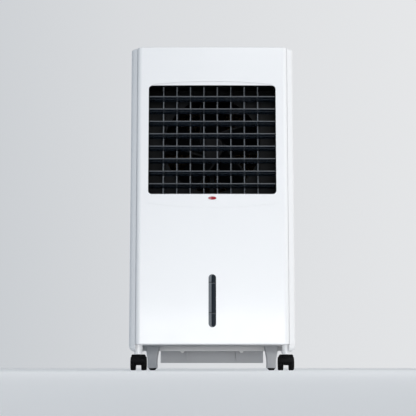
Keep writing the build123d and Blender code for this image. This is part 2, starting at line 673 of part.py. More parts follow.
def fan_shaft():
    end = RING_BACK_Y + FAN_MOTOR_LENGTH / 2 - 1
    return rod_y(0, FAN_Y0 - 1, end, OUTLET_Z, FAN_SHAFT_R)


def fan_impeller():
    hub = rod_y(0, FAN_Y0, FAN_Y1, OUTLET_Z, FAN_HUB_R)
    hub = fillet(hub.edges().group_by(Axis.Y)[0], 6)
    hub -= rod_y(0, FAN_Y0 + WALL, FAN_Y1 + 1, OUTLET_Z, FAN_HUB_R - WALL)
    hub += rod_y(0, FAN_Y0 + 1, FAN_Y1 - 4, OUTLET_Z, FAN_SHAFT_R + 5)
    limit = Rot(90, 0, 0) * Cylinder(FAN_R, FAN_LENGTH)
    limit -= Rot(90, 0, 0) * Cylinder(FAN_HUB_R - 1, 2 * FAN_LENGTH)
    chord = FAN_LENGTH / math.sin(math.radians(FAN_PITCH)) * 1.1
    middle = (FAN_Y0 + FAN_Y1) / 2
    for i in range(FAN_BLADES):
        blade = Pos(0, 0, FAN_R / 2 + 6) * Rot(0, 0, FAN_PITCH) * Box(chord, FAN_BLADE_T, FAN_R)
        blade = Rot(0, i * 360 / FAN_BLADES, 0) * blade
        hub += Pos(0, middle, OUTLET_Z) * (blade & limit)
    return hub - rod_y(0, FAN_Y0 - 2, FAN_Y1 + 1, OUTLET_Z, FAN_SHAFT_R)


def inside_plate(z0, z1):
    """A shelf that fits inside the side panels, behind the front panel."""
    gap = WALL + SEAM
    outline = shell_section(gap, SHELL_Y0 + gap, SHELL_Y1 - gap)
    room = SHELL_Y1 - PANEL_BACK_Y - SEAM
    outline &= Pos(0, SHELL_Y1 - room / 2) * Rectangle(WIDTH, room)
    return Pos(0, 0, z0) * extrude(outline, amount=z1 - z0)


def deck_plate():
    """The shelf between the water tank and the air space."""
    deck = inside_plate(DECK_Z, DECK_TOP)
    return deck - rod_z(PUMP_X, PUMP_Y, DECK_Z - 1, DECK_TOP + 1, HOSE_R + HOSE_HOLE_GAP)


def pad_frame():
    half = SHELL_HALF - WALL - SEAM
    inner = PAD_HALF + PAD_GAP
    outer = inner + PAD_FRAME_WALL
    z0 = PAD_Z0 - PAD_GAP
    z1 = PAD_Z1 + PAD_GAP
    wall = PAD_FRAME_WALL
    y0 = PAD_Y - PAD_GAP - wall
    y1 = PAD_Y + PAD_T
    frame = block(-half, half, y0, y0 + wall, DECK_TOP, z1 + wall)
    frame += block(-outer, outer, y0, y1, z0 - wall, z1 + wall)
    frame -= block(-inner, inner, y0 + wall, y1 + 1, z0, z1)
    lip = 5
    frame -= block(-inner + lip, inner - lip, y0 - 1, y1, z0 + lip, z1 - lip)
    slot = PAD_HALF - 10
    frame -= block(-slot, slot, PAD_Y + 4, y1 - 4, z1 - 1, z1 + wall + 1)
    return frame


def cooling_pad():
    return block(-PAD_HALF, PAD_HALF, PAD_Y, PAD_Y + PAD_T, PAD_Z0, PAD_Z1)


def distributor_tray():
    """The trough that lets water drip down into the cooling pad."""
    y0 = PAD_Y - 3
    y1 = PAD_Y + PAD_T
    tray = block(-TRAY_HALF, TRAY_HALF, y0, y1, TRAY_Z0, TRAY_Z0 + TRAY_H)
    w = TRAY_WALL
    tray -= block(-TRAY_HALF + w, TRAY_HALF - w, y0 + w, y1 - w, TRAY_Z0 + w, TRAY_Z0 + TRAY_H + 1)
    pitch = 2 * (PAD_HALF - 20) / (DRIP_COUNT - 1)
    for i in range(DRIP_COUNT):
        tray -= rod_z(-PAD_HALF + 20 + i * pitch, PAD_MID_Y, TRAY_Z0 - 1, TRAY_Z0 + w + 1, DRIP_R)
    return tray


def pump():
    z0 = TANK_Z0 + TANK_WALL + PUMP_FLOOR_GAP
    half_w = PUMP_W / 2
    half_d = PUMP_D / 2
    body = block(PUMP_X - half_w, PUMP_X + half_w, PUMP_Y - half_d, PUMP_Y + half_d, z0, z0 + PUMP_H)
    body = fillet(body.edges().filter_by(Axis.Z), 8)
    body += rod_z(PUMP_X, PUMP_Y, z0 + PUMP_H - 1, z0 + PUMP_H + 14, HOSE_BORE_R - 0.05)
    arm_y = PUMP_Y + half_d - PUMP_ARM_T
    arm = PUMP_ARM_W / 2
    body += block(PUMP_X - arm, PUMP_X + arm, arm_y, arm_y + PUMP_ARM_T, z0 + PUMP_H - 10, DECK_Z)
    foot = block(PUMP_X - arm, PUMP_X + arm, arm_y, arm_y + 18, DECK_Z - 4, DECK_Z)
    for i in range(5):
        slit = PUMP_X - half_w + 9 + i * (PUMP_W - 18) / 4
        body -= block(slit - 1, slit + 1, PUMP_Y - half_d - 1, PUMP_Y - half_d + 4, z0 + 4, z0 + 22)
    return body + foot


def hose_route():
    start = TANK_Z0 + TANK_WALL + PUMP_FLOOR_GAP + PUMP_H + 0.5
    return [
        (PUMP_X, PUMP_Y, start),
        (PUMP_X, PUMP_Y, HOSE_TOP_Z),
        (PUMP_X, PAD_MID_Y, HOSE_TOP_Z),
        (PUMP_X, PAD_MID_Y, TRAY_Z0 + TRAY_H - 8),
    ]


def water_hose():
    """The hose from the pump to the trough, bent over in two quarter turns."""
    path = FilletPolyline(*hose_route(), radius=HOSE_BEND_R)
    start = Plane(origin=hose_route()[0], z_dir=(0, 0, 1))
    return sweep(start * (Circle(HOSE_R) - Circle(HOSE_BORE_R)), path=path)


def water_tank():
    """The open-topped tank, with a finger pocket and a drain in its rear wall."""
    body = block(-TANK_HALF, TANK_HALF, TANK_FRONT_Y, TANK_REAR_Y, TANK_Z0, TANK_Z1)
    body = fillet(body.edges().filter_by(Axis.Z), TANK_EDGE_R)
    w = TANK_WALL
    room = TANK_HALF - w
    inside = block(-room, room, TANK_FRONT_Y + w, TANK_REAR_Y - w, TANK_Z0 + w, TANK_Z1 + 1)
    inside = fillet(inside.edges().filter_by(Axis.Z), TANK_EDGE_R - w)
    body -= inside
    half = HANDLE_W / 2
    top = TANK_Z1 - HANDLE_DROP
    low = top - HANDLE_H
    body += block(-half - w, half + w, TANK_REAR_Y - HANDLE_DEPTH - w, TANK_REAR_Y - 1, low - w, top + w)
    pocket = block(-half, half, TANK_REAR_Y - HANDLE_DEPTH, TANK_REAR_Y + 1, low, top)
    body -= fillet(pocket.edges().filter_by(Axis.Y), 6)
    drain_z = TANK_Z0 + DRAIN_RISE
    body -= rod_y(DRAIN_X, TANK_REAR_Y - w - 1, TANK_REAR_Y + 1, drain_z, DRAIN_R)
    return body


def drain_plug():
    drain_z = TANK_Z0 + DRAIN_RISE
    plug = rod_y(DRAIN_X, TANK_REAR_Y - TANK_WALL - 4, TANK_REAR_Y, drain_z, DRAIN_R - DRAIN_FIT)
    cap = rod_y(DRAIN_X, TANK_REAR_Y, TANK_REAR_Y + 4, drain_z, DRAIN_CAP_R)
    return plug + fillet(cap.edges().group_by(Axis.Y)[-1], 1)


def rear_grille():
    """The pull-off intake grille: a border, slanted slats and upright ribs."""
    half = GRILLE_HALF
    y1 = BACK_Y
    grille = block(-half, half, GRILLE_Y0, y1, GRILLE_Z0, GRILLE_Z1)
    b = GRILLE_BORDER
    grille -= block(-half + b, half - b, GRILLE_Y0 - 1, y1 + 1, GRILLE_Z0 + b, GRILLE_Z1 - b)
    inner_h = GRILLE_Z1 - GRILLE_Z0 - 2 * b
    count = round(inner_h / SLAT_PITCH) - 1
    pitch = inner_h / (count + 1)
    slat_y = y1 - 1 - SLAT_DEPTH / 2
    for i in range(count):
        z = GRILLE_Z0 + b + (i + 1) * pitch
        grille += Pos(0, slat_y, z) * Rot(SLAT_ANGLE, 0, 0) * Box(2 * (half - b) + 2, SLAT_DEPTH, SLAT_T)
    for i in range(RIB_COUNT):
        x = (i + 1) * 2 * (half - b) / (RIB_COUNT + 1) - (half - b)
        rib = Pos(x, GRILLE_Y0 + RIB_D / 2, (GRILLE_Z0 + GRILLE_Z1) / 2) * Box(RIB_W, RIB_D, inner_h + 2)
        grille += rib
    return grille


def dust_filter():
    """The mesh screen that lies against the inside of the grille."""
    half = FILTER_HALF
    z0 = GRILLE_Z0 + 8
    z1 = GRILLE_Z1 - 8
    y1 = GRILLE_Y0
    y0 = y1 - FILTER_T
    b = FILTER_BORDER
    screen = block(-half, half, y0, y1, z0, z1)
    screen -= block(-half + b, half - b, y0 - 1, y1 + 1, z0 + b, z1 - b)
    w = FILTER_WIRE / 2
    columns = round(2 * (half - b) / FILTER_PITCH)
    rows = round((z1 - z0 - 2 * b) / FILTER_PITCH)
    for i in range(1, columns):
        x = -half + b + i * 2 * (half - b) / columns
        screen += block(x - w, x + w, y0, y1, z0 + 1, z1 - 1)
    for i in range(1, rows):
        z = z0 + b + i * (z1 - z0 - 2 * b) / rows
        screen += block(-half + 1, half - 1, y0, y1, z - w, z + w)
    return screen


def cord_inlet():
    """The gland where a mains lead would enter, in the left rear edge."""
    gland = rod_y(INLET_X, SHELL_Y1 - WALL - 5, SHELL_Y1 + 1, INLET_Z, INLET_R)
    gland += rod_y(INLET_X, SHELL_Y1, SHELL_Y1 + INLET_FLANGE_T, INLET_Z, INLET_FLANGE_R)
    return gland - rod_y(INLET_X, SHELL_Y1 - WALL - 6, BACK_Y + 1, INLET_Z, INLET_BORE_R)


def base_pan():
    """The tray under the cabinet: floor, side rails, rear rail and caster bosses."""
    floor_z = SKIRT_Z + PAN_FLOOR_RISE
    pan = inside_plate(floor_z, PAN_TOP)
    rail_z = SKIRT_Z - PAN_RAIL_H
    skirt = Pos(0, 0, rail_z) * extrude(shell_section(0, SHELL_Y0, SHELL_Y1), amount=PAN_RAIL_H - SEAM)
    bottom = skirt.edges().group_by(Axis.Z)[0].filter_by(Axis.Y)
    skirt = fillet(bottom, PAN_EDGE_R)
    inner = SHELL_HALF - PAN_RAIL_T
    skirt -= block(-inner, inner, SHELL_Y0 - 1, SHELL_Y1 + 1, rail_z - 1, SKIRT_Z + 1)
    pan += skirt
    seat = inside_plate(SKIRT_Z - 2, floor_z + 1)
    pan += seat - block(-inner - 1, inner + 1, SHELL_Y0 - 1, SHELL_Y1 + 1, SKIRT_Z - 3, floor_z)
    rail_y = PAN_REAR_RAIL_Y
    rail_back = rail_y + PAN_REAR_RAIL_D
    pan += block(-inner - 1, inner + 1, rail_y, rail_back, REAR_RAIL_Z0, floor_z + 1)
    pan -= block(-inner + 4, inner - 4, rail_y + WALL, rail_back + 1, REAR_RAIL_Z0 - 1, floor_z - 1)
    for x in (-RAIL_BOSS_X, RAIL_BOSS_X):
        pan += rod_y(x, rail_y, rail_y + RAIL_BOSS_D, REAR_RAIL_Z0, RAIL_BOSS_R)
    for x in (-CASTER_X, CASTER_X):
        pan += rod_z(x, CASTER_Y, BOSS_FOOT_Z, floor_z + 1, CASTER_BOSS_R)
        pan -= rod_z(x, CASTER_Y, BOSS_FOOT_Z - 1, BOSS_FOOT_Z + STEM_UP + 0.5, STEM_R + 0.02)
    for x in (-SCREW_X, SCREW_X):
        for y in SCREW_YS:
            pan -= rod_z(x, y, rail_z - 1, PAN_TOP + 1, SCREW_R + SCREW_FIT)
            pan -= rod_z(x, y, rail_z - 1, SKIRT_Z - 2, SCREW_HEAD_R + 0.6)
    return pan


def screws():
    """The fasteners that hold the side panels on the base pan."""
    seat = SKIRT_Z - 2
    parts = []
    for x in (-SCREW_X, SCREW_X):
        for y in SCREW_YS:
            screw = rod_z(x, y, seat, seat + SCREW_L, SCREW_R)
            head = rod_z(x, y, seat - SCREW_HEAD_H, seat, SCREW_HEAD_R)
            head = fillet(head.edges().group_by(Axis.Z)[0], 1)
            at_head = Pos(x, y, seat - SCREW_HEAD_H)
            slot = at_head * Box(SCREW_SLOT_W, SCREW_SLOT_L, 2)
            cross = at_head * Box(SCREW_SLOT_L, SCREW_SLOT_W, 2)
            parts.append(screw + head - slot - cross)
    return Compound(children=parts)


def caster_stems():
    parts = []
    for x in (-CASTER_X, CASTER_X):
        z0 = BOSS_FOOT_Z - CASTER_GAP - STEM_DOWN
        parts.append(rod_z(x, CASTER_Y, z0, BOSS_FOOT_Z + STEM_UP, STEM_R))
    return Compound(children=parts)


def caster_hood(x):
    """The web and mudguard of one twin-wheel caster."""
    top = CASTER_WHEEL_R + CASTER_HOOD_R
    half = CASTER_HOOD_W / 2
    web = CASTER_WEB / 2
    guard = rod_x(-half, half, AXLE_Y, CASTER_WHEEL_R, CASTER_HOOD_R)
    guard &= block(-half, half, AXLE_Y - 30, AXLE_Y + 30, CASTER_WHEEL_R + 2, top + 1)
    guard = guard + block(-half, half, CASTER_Y - 4, AXLE_Y, top - 8, top)
    top_edges = [e for e in guard.edges().filter_by(Axis.Y) if e.center().Z > top - 1]
    guard = chamfer(top_edges, 2)
    guard += block(-web, web, CASTER_Y - STEM_R - 2, AXLE_Y + 8, 12, top)
    tyre = CASTER_WHEEL_R + CASTER_WHEEL_GAP
    guard -= rod_x(-half - 1, -web, AXLE_Y, CASTER_WHEEL_R, tyre)
    guard -= rod_x(web, half + 1, AXLE_Y, CASTER_WHEEL_R, tyre)
    guard += rod_z(0, CASTER_Y, top - STEM_DOWN - 2, top, STEM_R + 2)
    guard -= rod_z(0, CASTER_Y, top - STEM_DOWN - STEM_BOTTOM_GAP, top + 1, STEM_R + STEM_FIT)
    guard -= rod_x(-web - 1, web + 1, AXLE_Y, CASTER_WHEEL_R, AXLE_R)
    return Pos(x, 0, 0) * guard


def caster_axle(x):
    half = CASTER_WIDTH / 2 - 3
    return rod_x(x - half, x + half, AXLE_Y, CASTER_WHEEL_R, AXLE_R)


def caster_wheels(x):
    """The pair of wheels of one caster, one each side of its web."""
    inner = CASTER_WEB / 2 + CASTER_SIDE_GAP
    outer = CASTER_WIDTH / 2
    wheel = rod_x(inner, outer, AXLE_Y, CASTER_WHEEL_R, CASTER_WHEEL_R)
    wheel = fillet(wheel.edges().group_by(Axis.X)[-1], 3)
    wheel = fillet(wheel.edges().group_by(Axis.X)[0], 1)
    wheel -= rod_x(outer - 1.5, outer + 1, AXLE_Y, CASTER_WHEEL_R, CASTER_WHEEL_R * 0.55)
    wheel -= rod_x(inner - 1, outer - 2.5, AXLE_Y, CASTER_WHEEL_R, AXLE_R + AXLE_FIT)
    pair = [Pos(x, 0, 0) * wheel, Pos(x, 0, 0) * mirror(wheel, about=Plane.YZ)]
    return Compound(children=pair)


def leg(x):
    top = LEG_TOP_W / 2
    foot = LEG_FOOT_W / 2
    outline = [
        (-top, LEG_TOP_Z),
        (-foot, LEG_WAIST_Z),
        (-foot, FOOT_H),
        (foot, FOOT_H),
        (foot, LEG_WAIST_Z),
        (top, LEG_TOP_Z),
    ]
    face = make_face(Polyline(*outline, close=True))
    body = facing_front(face, LEG_Y - LEG_D / 2, LEG_Y + LEG_D / 2)
    upright = [e for e in body.edges() if abs(e.center().X) > 1 and e.length > 15 and e.length < 50]
    upright = [e for e in upright if abs(abs(e.center().Y - LEG_Y) - LEG_D / 2) < 0.01]
    body = fillet([e for e in upright if abs(e.tangent_at(0.5).Z) > 0.5], 3)
    return Pos(x, 0, 0) * body


def foot_pads():
    parts = []
    for x in (-LEG_X, LEG_X):
        pad = Cone(FOOT_BOTTOM_R, FOOT_TOP_R, FOOT_H)
        parts.append(Pos(x, LEG_Y, FOOT_H / 2) * pad)
    return Compound(children=parts)


def rear_crossbar():
    """The ribbed panel between the legs."""
    half = CROSSBAR_HALF
    z0 = CROSSBAR_BOTTOM_Z
    y0 = CROSSBAR_Y
    bar = block(-half, half, y0, y0 + CROSSBAR_T, z0, LEG_TOP_Z - 1)
    bar += block(-half, half, y0, y0 + 2 * CROSSBAR_T, z0, z0 + 3)
    for x in (-CROSSBAR_RIB_X, CROSSBAR_RIB_X):
        rib = CROSSBAR_RIB_T / 2
        rib_z = z0 + CROSSBAR_RIB_RISE
        bar += block(x - rib, x + rib, y0 - CROSSBAR_RIB_D, y0 + 1, rib_z, REAR_RAIL_Z0)
    for rise in CROSSBAR_GROOVE_RISES:
        groove_z = z0 + rise
        for x0, x1 in ((-CROSSBAR_GROOVE_END, -CROSSBAR_GROOVE_X), (CROSSBAR_GROOVE_X, CROSSBAR_GROOVE_END)):
            bar -= block(x0, x1, y0 - 1, y0 + CROSSBAR_GROOVE_DEPTH, groove_z, groove_z + CROSSBAR_GROOVE_W)
    return bar


nodes = {
    "front_panel": front_panel(),
    "badge": badge(),
    "level_window": level_window(),
    "outlet_frame": outlet_frame(),
    "louvre_link": louvre_link(),
    "vane_link": vane_link(),
    "swing_motor": swing_motor(),
    "left_side_panel": side_panel(-1),
    "right_side_panel": side_panel(1),
    "top_cover": top_cover(),
    "control_fascia": control_fascia(),
    "control_board": control_board(),
    "fan_bulkhead": fan_bulkhead(),
    "fan_motor": fan_motor(),
    "fan_shaft": fan_shaft(),
    "fan_impeller": fan_impeller(),
    "deck_plate": deck_plate(),
    "pad_frame": pad_frame(),
    "cooling_pad": cooling_pad(),
    "distributor_tray": distributor_tray(),
    "pump": pump(),
    "water_hose": water_hose(),
    "water_tank": water_tank(),
    "drain_plug": drain_plug(),
    "rear_grille": rear_grille(),
    "dust_filter": dust_filter(),
    "cord_inlet": cord_inlet(),
    "base_pan": base_pan(),
    "screws": screws(),
    "caster_stems": caster_stems(),
    "left_leg": leg(-LEG_X),
    "right_leg": leg(LEG_X),
    "foot_pads": foot_pads(),
    "rear_crossbar": rear_crossbar(),
}
for number, z in enumerate(LOUVRE_ZS, start=1):
    nodes[f"louvre_{number}"] = louvre(z, driven=number == 1)
for number in range(1, VANE_COUNT + 1):
    nodes[f"vane_{number}"] = vane(number - 1)
for number, x in enumerate(BUTTON_XS, start=1):
    nodes[f"button_{number}"] = button(x)
for side, x in (("left", -CASTER_X), ("right", CASTER_X)):
    nodes[f"caster_hood_{side}"] = caster_hood(x)
    nodes[f"caster_axle_{side}"] = caster_axle(x)
    nodes[f"caster_wheels_{side}"] = caster_wheels(x)

os.makedirs("parts", exist_ok=True)
for name, shape in nodes.items():
    export_step(shape, f"parts/{name}.step")
print(len(nodes), "nodes")
bends = len(hose_route()) - 2
print("hose bend radii", [HOSE_BEND_R] * bends)
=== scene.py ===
import json
import math

import bmesh
import bpy
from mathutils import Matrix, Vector


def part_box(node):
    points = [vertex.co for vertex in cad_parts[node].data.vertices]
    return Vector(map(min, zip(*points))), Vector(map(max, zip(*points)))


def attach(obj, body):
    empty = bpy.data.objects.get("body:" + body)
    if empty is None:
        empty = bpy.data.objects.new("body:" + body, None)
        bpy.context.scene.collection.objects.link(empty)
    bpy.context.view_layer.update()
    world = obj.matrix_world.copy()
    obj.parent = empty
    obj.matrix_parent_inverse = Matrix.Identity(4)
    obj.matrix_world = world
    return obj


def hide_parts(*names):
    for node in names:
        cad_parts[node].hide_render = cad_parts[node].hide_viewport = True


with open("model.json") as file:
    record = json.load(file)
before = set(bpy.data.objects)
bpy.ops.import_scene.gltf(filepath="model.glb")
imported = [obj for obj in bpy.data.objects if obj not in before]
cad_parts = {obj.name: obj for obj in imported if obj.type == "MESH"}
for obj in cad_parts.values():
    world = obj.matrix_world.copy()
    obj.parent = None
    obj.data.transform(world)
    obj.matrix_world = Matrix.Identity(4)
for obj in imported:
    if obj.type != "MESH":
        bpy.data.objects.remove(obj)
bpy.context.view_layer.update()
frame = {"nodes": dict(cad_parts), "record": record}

# The evaporative cooler's finish, its fine detail, the light and the camera. Metres, +Z up, front at -Y.

nodes = frame["nodes"]
record = frame["record"]

MM = 0.001
FULL_TURN = 2 * math.pi

# the planes that flat rings are drawn in, as axis numbers
XY = (0, 1)
XZ = (0, 2)
YZ = (1, 2)

# camera
CAMERA_PLACE = (-0.0102, -2.865, 0.005)
CAMERA_TILT = 98.0              # degrees up from straight down
LENS = 98.65
SENSOR_WIDTH = 36.0
VIEW_RANGE = 100.0

# sight glass
GLASS_RIM = 2.5 * MM            # what the window's rim hides at each edge
GLASS_PLAY = 0.1 * MM
PLATE_SET = 1.2 * MM            # behind the window's front
PLATE_BACK = 1.6 * MM
PLATE_RISE = 0.4 * MM
TUBE_SHARE = 0.62               # of the glass's width
TUBE_EDGE_GAP = 0.3 * MM
TUBE_END_GAP = 1.2 * MM
TUBE_SET = 1.4 * MM
TUBE_BACK = 1.0 * MM
TUBE_RISE = 1.4 * MM
MARK_HEIGHTS = (207 * MM, 135 * MM)     # full and low, above the floor
MARK_INSET = 0.8 * MM
MARK_RISE = 1.35 * MM
MARK_R = 0.7 * MM
MARK_START = 3.2 * MM           # in from the window's left edge
LINE_START = 3.6 * MM
LINE_DROP = 2.6 * MM
LINE_R = 0.3 * MM
MARK_SET = 0.9 * MM
ARC_STEPS = 8
TICKS = 12
TICK_SPAN = 0.8                 # of the glass's height
TICK_START = 4.2 * MM
TICK_LONG = 3.4 * MM
TICK_SHORT = 2.0 * MM
TICK_R = 0.18 * MM

# cooling pad
PAD_SHEETS = 40
PAD_ROWS = 140
PAD_COLUMNS = 8
PAD_WAVE = 20 * MM
PAD_SWING = 0.62                # of the sheets' pitch
PAD_OUTER_SWING = 0.45

# dust filter
FILTER_BORDER = 6 * MM
FILTER_BAR = 4 * MM
FILTER_BEVEL = 0.3 * MM
SCREEN_PITCH = 5.5 * MM
SCREEN_R = 0.28 * MM
SCREEN_WEAVE = 0.3 * MM

# control plate
ICON_LINE = 0.22 * MM
ICON_SIZE = 3.6 * MM
ICON_OFFSET = 15 * MM           # behind the key's middle
LAMP_OFFSET = 13 * MM           # in front of it
LAMP_SINK = 0.05 * MM
LAMP_PROFILE = ((0.9 * MM, 0.0), (0.8 * MM, 0.35 * MM), (0.5 * MM, 0.55 * MM), (0.1 * MM, 0.62 * MM))
KEY_RING_R = 4.2 * MM
KEY_DOT_R = 0.7 * MM
KEY_LINE = 0.16 * MM
KEY_SINK = 0.12 * MM
OUTLINE_X = 76 * MM
OUTLINE_HALF_W = 7 * MM
OUTLINE_HALF_D = 12 * MM
OUTLINE_CORNER_R = 2 * MM

# casters
TREAD_LINES = (4.6 * MM, 7.0 * MM, 9.4 * MM)    # in from the wheels' outer faces
TREAD_SINK = 0.22 * MM
TREAD_R = 0.2 * MM
HUB_PROFILE = ((2.2 * MM, 0.0), (2.2 * MM, 0.9 * MM), (1.6 * MM, 1.2 * MM), (0.3 * MM, 1.3 * MM))
HUB_SINK = 1.5 * MM
SPOKES = 5
SPOKE_SINK = 1.35 * MM
SPOKE_INNER = 2.0 * MM
SPOKE_OUTER = 8.8 * MM
SPOKE_R = 0.55 * MM

# fan motor and leads
MOTOR_RIBS = 24
RIB_INNER = 0.45                # of the motor's radius
RIB_OUTER = 0.8
RIB_R = 0.9 * MM
RIB_RISE = 0.1 * MM
MOTOR_RINGS = ((0.3, 0.2 * MM), (0.9, 3.2 * MM))    # share of the radius, and how far in front of the back
MOTOR_RING_R = 1.0 * MM
LEAD_PITCH = 1.6 * MM
LEAD_R = 0.7 * MM
LEAD_END = 0.5 * MM

# tank, grille and gland
BEAD_RISE = 0.1 * MM
BEAD_END = 24 * MM
BEADS = ((0.2, 90 * MM), (0.3, BEAD_END), (0.4, BEAD_END))      # share of the height, and where each starts
BEAD_R = 0.9 * MM
RIM_DROP = 8 * MM
RIM_END = 12 * MM
RIM_R = 1.2 * MM
RIDGES = 5
RIDGE_X = 110 * MM
RIDGE_PITCH = 4 * MM
RIDGE_DROP = 6 * MM
RIDGE_HALF = 4 * MM
RIDGE_R = 0.5 * MM
RIDGE_SINK = 0.35 * MM
GLAND_RING_R = 6.4 * MM
GLAND_LINE = 0.4 * MM
GLAND_SINK = 0.1 * MM

# the colour sockets of Blender's Mix node
MIX_FIRST = 6
MIX_SECOND = 7
MIX_RESULT = 2


# ---------------------------------------------------------------- camera
def make_camera():
    """A long lens almost on the floor, looking slightly up at the front."""
    data = bpy.data.cameras.new("camera")
    data.sensor_width = SENSOR_WIDTH
    data.lens = LENS
    data.clip_end = VIEW_RANGE
    camera = bpy.data.objects.new("camera", data)
    camera.location = CAMERA_PLACE
    camera.rotation_euler = (math.radians(CAMERA_TILT), 0.0, 0.0)
    bpy.context.scene.collection.objects.link(camera)
    bpy.context.scene.camera = camera


make_camera()


# ---------------------------------------------------------------- mesh helpers
def mesh_object(name, bm, smooth_angle=35.0):
    """An object from a bmesh, with faces smooth below an angle."""
    bmesh.ops.recalc_face_normals(bm, faces=bm.faces)
    mesh = bpy.data.meshes.new(name)
    bm.to_mesh(mesh)
    bm.free()
    for polygon in mesh.polygons:
        polygon.use_smooth = True
    mesh.set_sharp_from_angle(angle=math.radians(smooth_angle))
    obj = bpy.data.objects.new(name, mesh)
    bpy.context.scene.collection.objects.link(obj)
    return obj


def finish_piece(obj, material, body):
    """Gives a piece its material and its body."""
    obj.data.materials.append(material)
    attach(obj, body)
    return obj


def bridge_rings(bm, first, second):
    """A closed band of faces between two rings of as many points."""
    count = len(first)
    for k in range(count):
        n = (k + 1) % count
        bm.faces.new((first[k], first[n], second[n], second[k]))


def add_tube(bm, path, radius, sides=6, closed=False):
    """A round wire along a path; its ends are capped unless it is closed."""
    points = [Vector(p) for p in path]
    count = len(points)
    turns = [FULL_TURN * k / sides for k in range(sides)]
    rings = []
    normal = None
    for i, point in enumerate(points):
        ahead = points[(i + 1) % count] if closed or i + 1 < count else point
        behind = points[i - 1] if closed or i > 0 else point
        direction = (ahead - behind).normalized()
        if normal is None:
            normal = direction.orthogonal().normalized()
        normal = (normal - direction * normal.dot(direction)).normalized()
        across = direction.cross(normal)
        offsets = [radius * (math.cos(a) * normal + math.sin(a) * across) for a in turns]
        rings.append([bm.verts.new(point + offset) for offset in offsets])
    for i in range(count if closed else count - 1):
        bridge_rings(bm, rings[i], rings[(i + 1) % count])
    if not closed:
        bm.faces.new(rings[0])
        bm.faces.new(rings[-1])


def add_lathe(bm, profile, place, axis, steps):
    """Turns a profile of (radius, height) round an axis through a place, and caps both ends."""
    turn = Vector((0, 0, 1)).rotation_difference(Vector(axis)).to_matrix()
    rings = []
    for radius, height in profile:
        outline = ring((0.0, 0.0, height), radius, steps, XY)
        rings.append([bm.verts.new(Vector(place) + turn @ Vector(point)) for point in outline])
    for first, second in zip(rings, rings[1:]):
        bridge_rings(bm, first, second)
    bm.faces.new(rings[0])
    bm.faces.new(rings[-1])


def ring(centre, radius, steps, plane):
    """Points evenly round a circle in a plane of two axes."""
    points = []
    for k in range(steps):
        a = FULL_TURN * k / steps
        point = list(centre)
        point[plane[0]] += radius * math.cos(a)
        point[plane[1]] += radius * math.sin(a)
        points.append(point)
    return points


def arc(centre, radius, start, end, steps):
    """Points along an arc in the XY plane, between two angles in degrees."""
    cx, cy, z = centre
    angles = [math.radians(start + (end - start) * k / steps) for k in range(steps + 1)]
    return [(cx + radius * math.cos(a), cy + radius * math.sin(a), z) for a in angles]


def stadium(width, height, steps=14):
    """The outline of a rounded slot standing upright, as (x, z) points round its centre."""
    r = width / 2
    angles = [math.pi * k / steps for k in range(steps + 1)]
    top = [(r * math.cos(a), height / 2 - r + r * math.sin(a)) for a in angles]
    return top + [(-x, -z) for x, z in top]


def add_pillow(bm, centre, width, height, back, rise, levels=6):
    """A rounded slot shape that bulges towards the front."""
    cx, cy, cz = centre
    rings = [[bm.verts.new((cx + x, cy + back, cz + z)) for x, z in stadium(width, height)]]
    for level in range(levels):
        lean = level / levels * math.pi / 2
        cut = width / 2 * (1 - math.cos(lean))
        lift = rise * math.sin(lean)
        outline = stadium(width - 2 * cut, height - 2 * cut)
        rings.append([bm.verts.new((cx + x, cy - lift, cz + z)) for x, z in outline])
    for first, second in zip(rings, rings[1:]):
        bridge_rings(bm, first, second)
    bm.faces.new(rings[-1])
    bm.faces.new(rings[0])


def add_box(bm, low, high):
    """A box between two corners."""
    made = bmesh.ops.create_cube(bm, size=1.0)
    centre = [(a + b) / 2 for a, b in zip(low, high)]
    size = [b - a for a, b in zip(low, high)]
    bmesh.ops.scale(bm, vec=size, verts=made["verts"])
    bmesh.ops.translate(bm, vec=centre, verts=made["verts"])


def smooth_path(points, steps=6):
    """A Catmull-Rom curve through a path's points."""
    points = [Vector(p) for p in points]
    padded = [points[0]] + points + [points[-1]]
    result = []
    for i in range(len(points) - 1):
        a, b, c, d = padded[i:i + 4]
        bend = 2 * a - 5 * b + 4 * c - d
        twist = 3 * b - a - 3 * c + d
        for k in range(steps):
            t = k / steps
            result.append(0.5 * (2 * b + (c - a) * t + bend * t * t + twist * t ** 3))
    return result + [points[-1]]


# ---------------------------------------------------------------- material helpers
def new_material(name):
    """A material with only its output and a Principled shader."""
    material = bpy.data.materials.new(name)
    material.use_nodes = True
    tree = material.node_tree
    tree.nodes.clear()
    output = tree.nodes.new("ShaderNodeOutputMaterial")
    shader = tree.nodes.new("ShaderNodeBsdfPrincipled")
    tree.links.new(shader.outputs["BSDF"], output.inputs["Surface"])
    return material, tree, shader


def noise(tree, scale, detail=3.0, stretch=(1.0, 1.0, 1.0)):
    """A noise texture in the object's own coordinates, stretched along an axis if asked."""
    coordinates = tree.nodes.new("ShaderNodeTexCoord")
    mapping = tree.nodes.new("ShaderNodeMapping")
    mapping.inputs["Scale"].default_value = stretch
    texture = tree.nodes.new("ShaderNodeTexNoise")
    texture.inputs["Scale"].default_value = scale
    texture.inputs["Detail"].default_value = detail
    tree.links.new(coordinates.outputs["Object"], mapping.inputs["Vector"])
    tree.links.new(mapping.outputs["Vector"], texture.inputs["Vector"])
    return texture.outputs["Fac"]


def spread(tree, value, low, high, start=0.3, end=0.7):
    """Maps a value between start and end to a range."""
    node = tree.nodes.new("ShaderNodeMapRange")
    node.inputs["From Min"].default_value = start
    node.inputs["From Max"].default_value = end
    node.inputs["To Min"].default_value = low
    node.inputs["To Max"].default_value = high
    tree.links.new(value, node.inputs["Value"])
    return node.outputs["Result"]


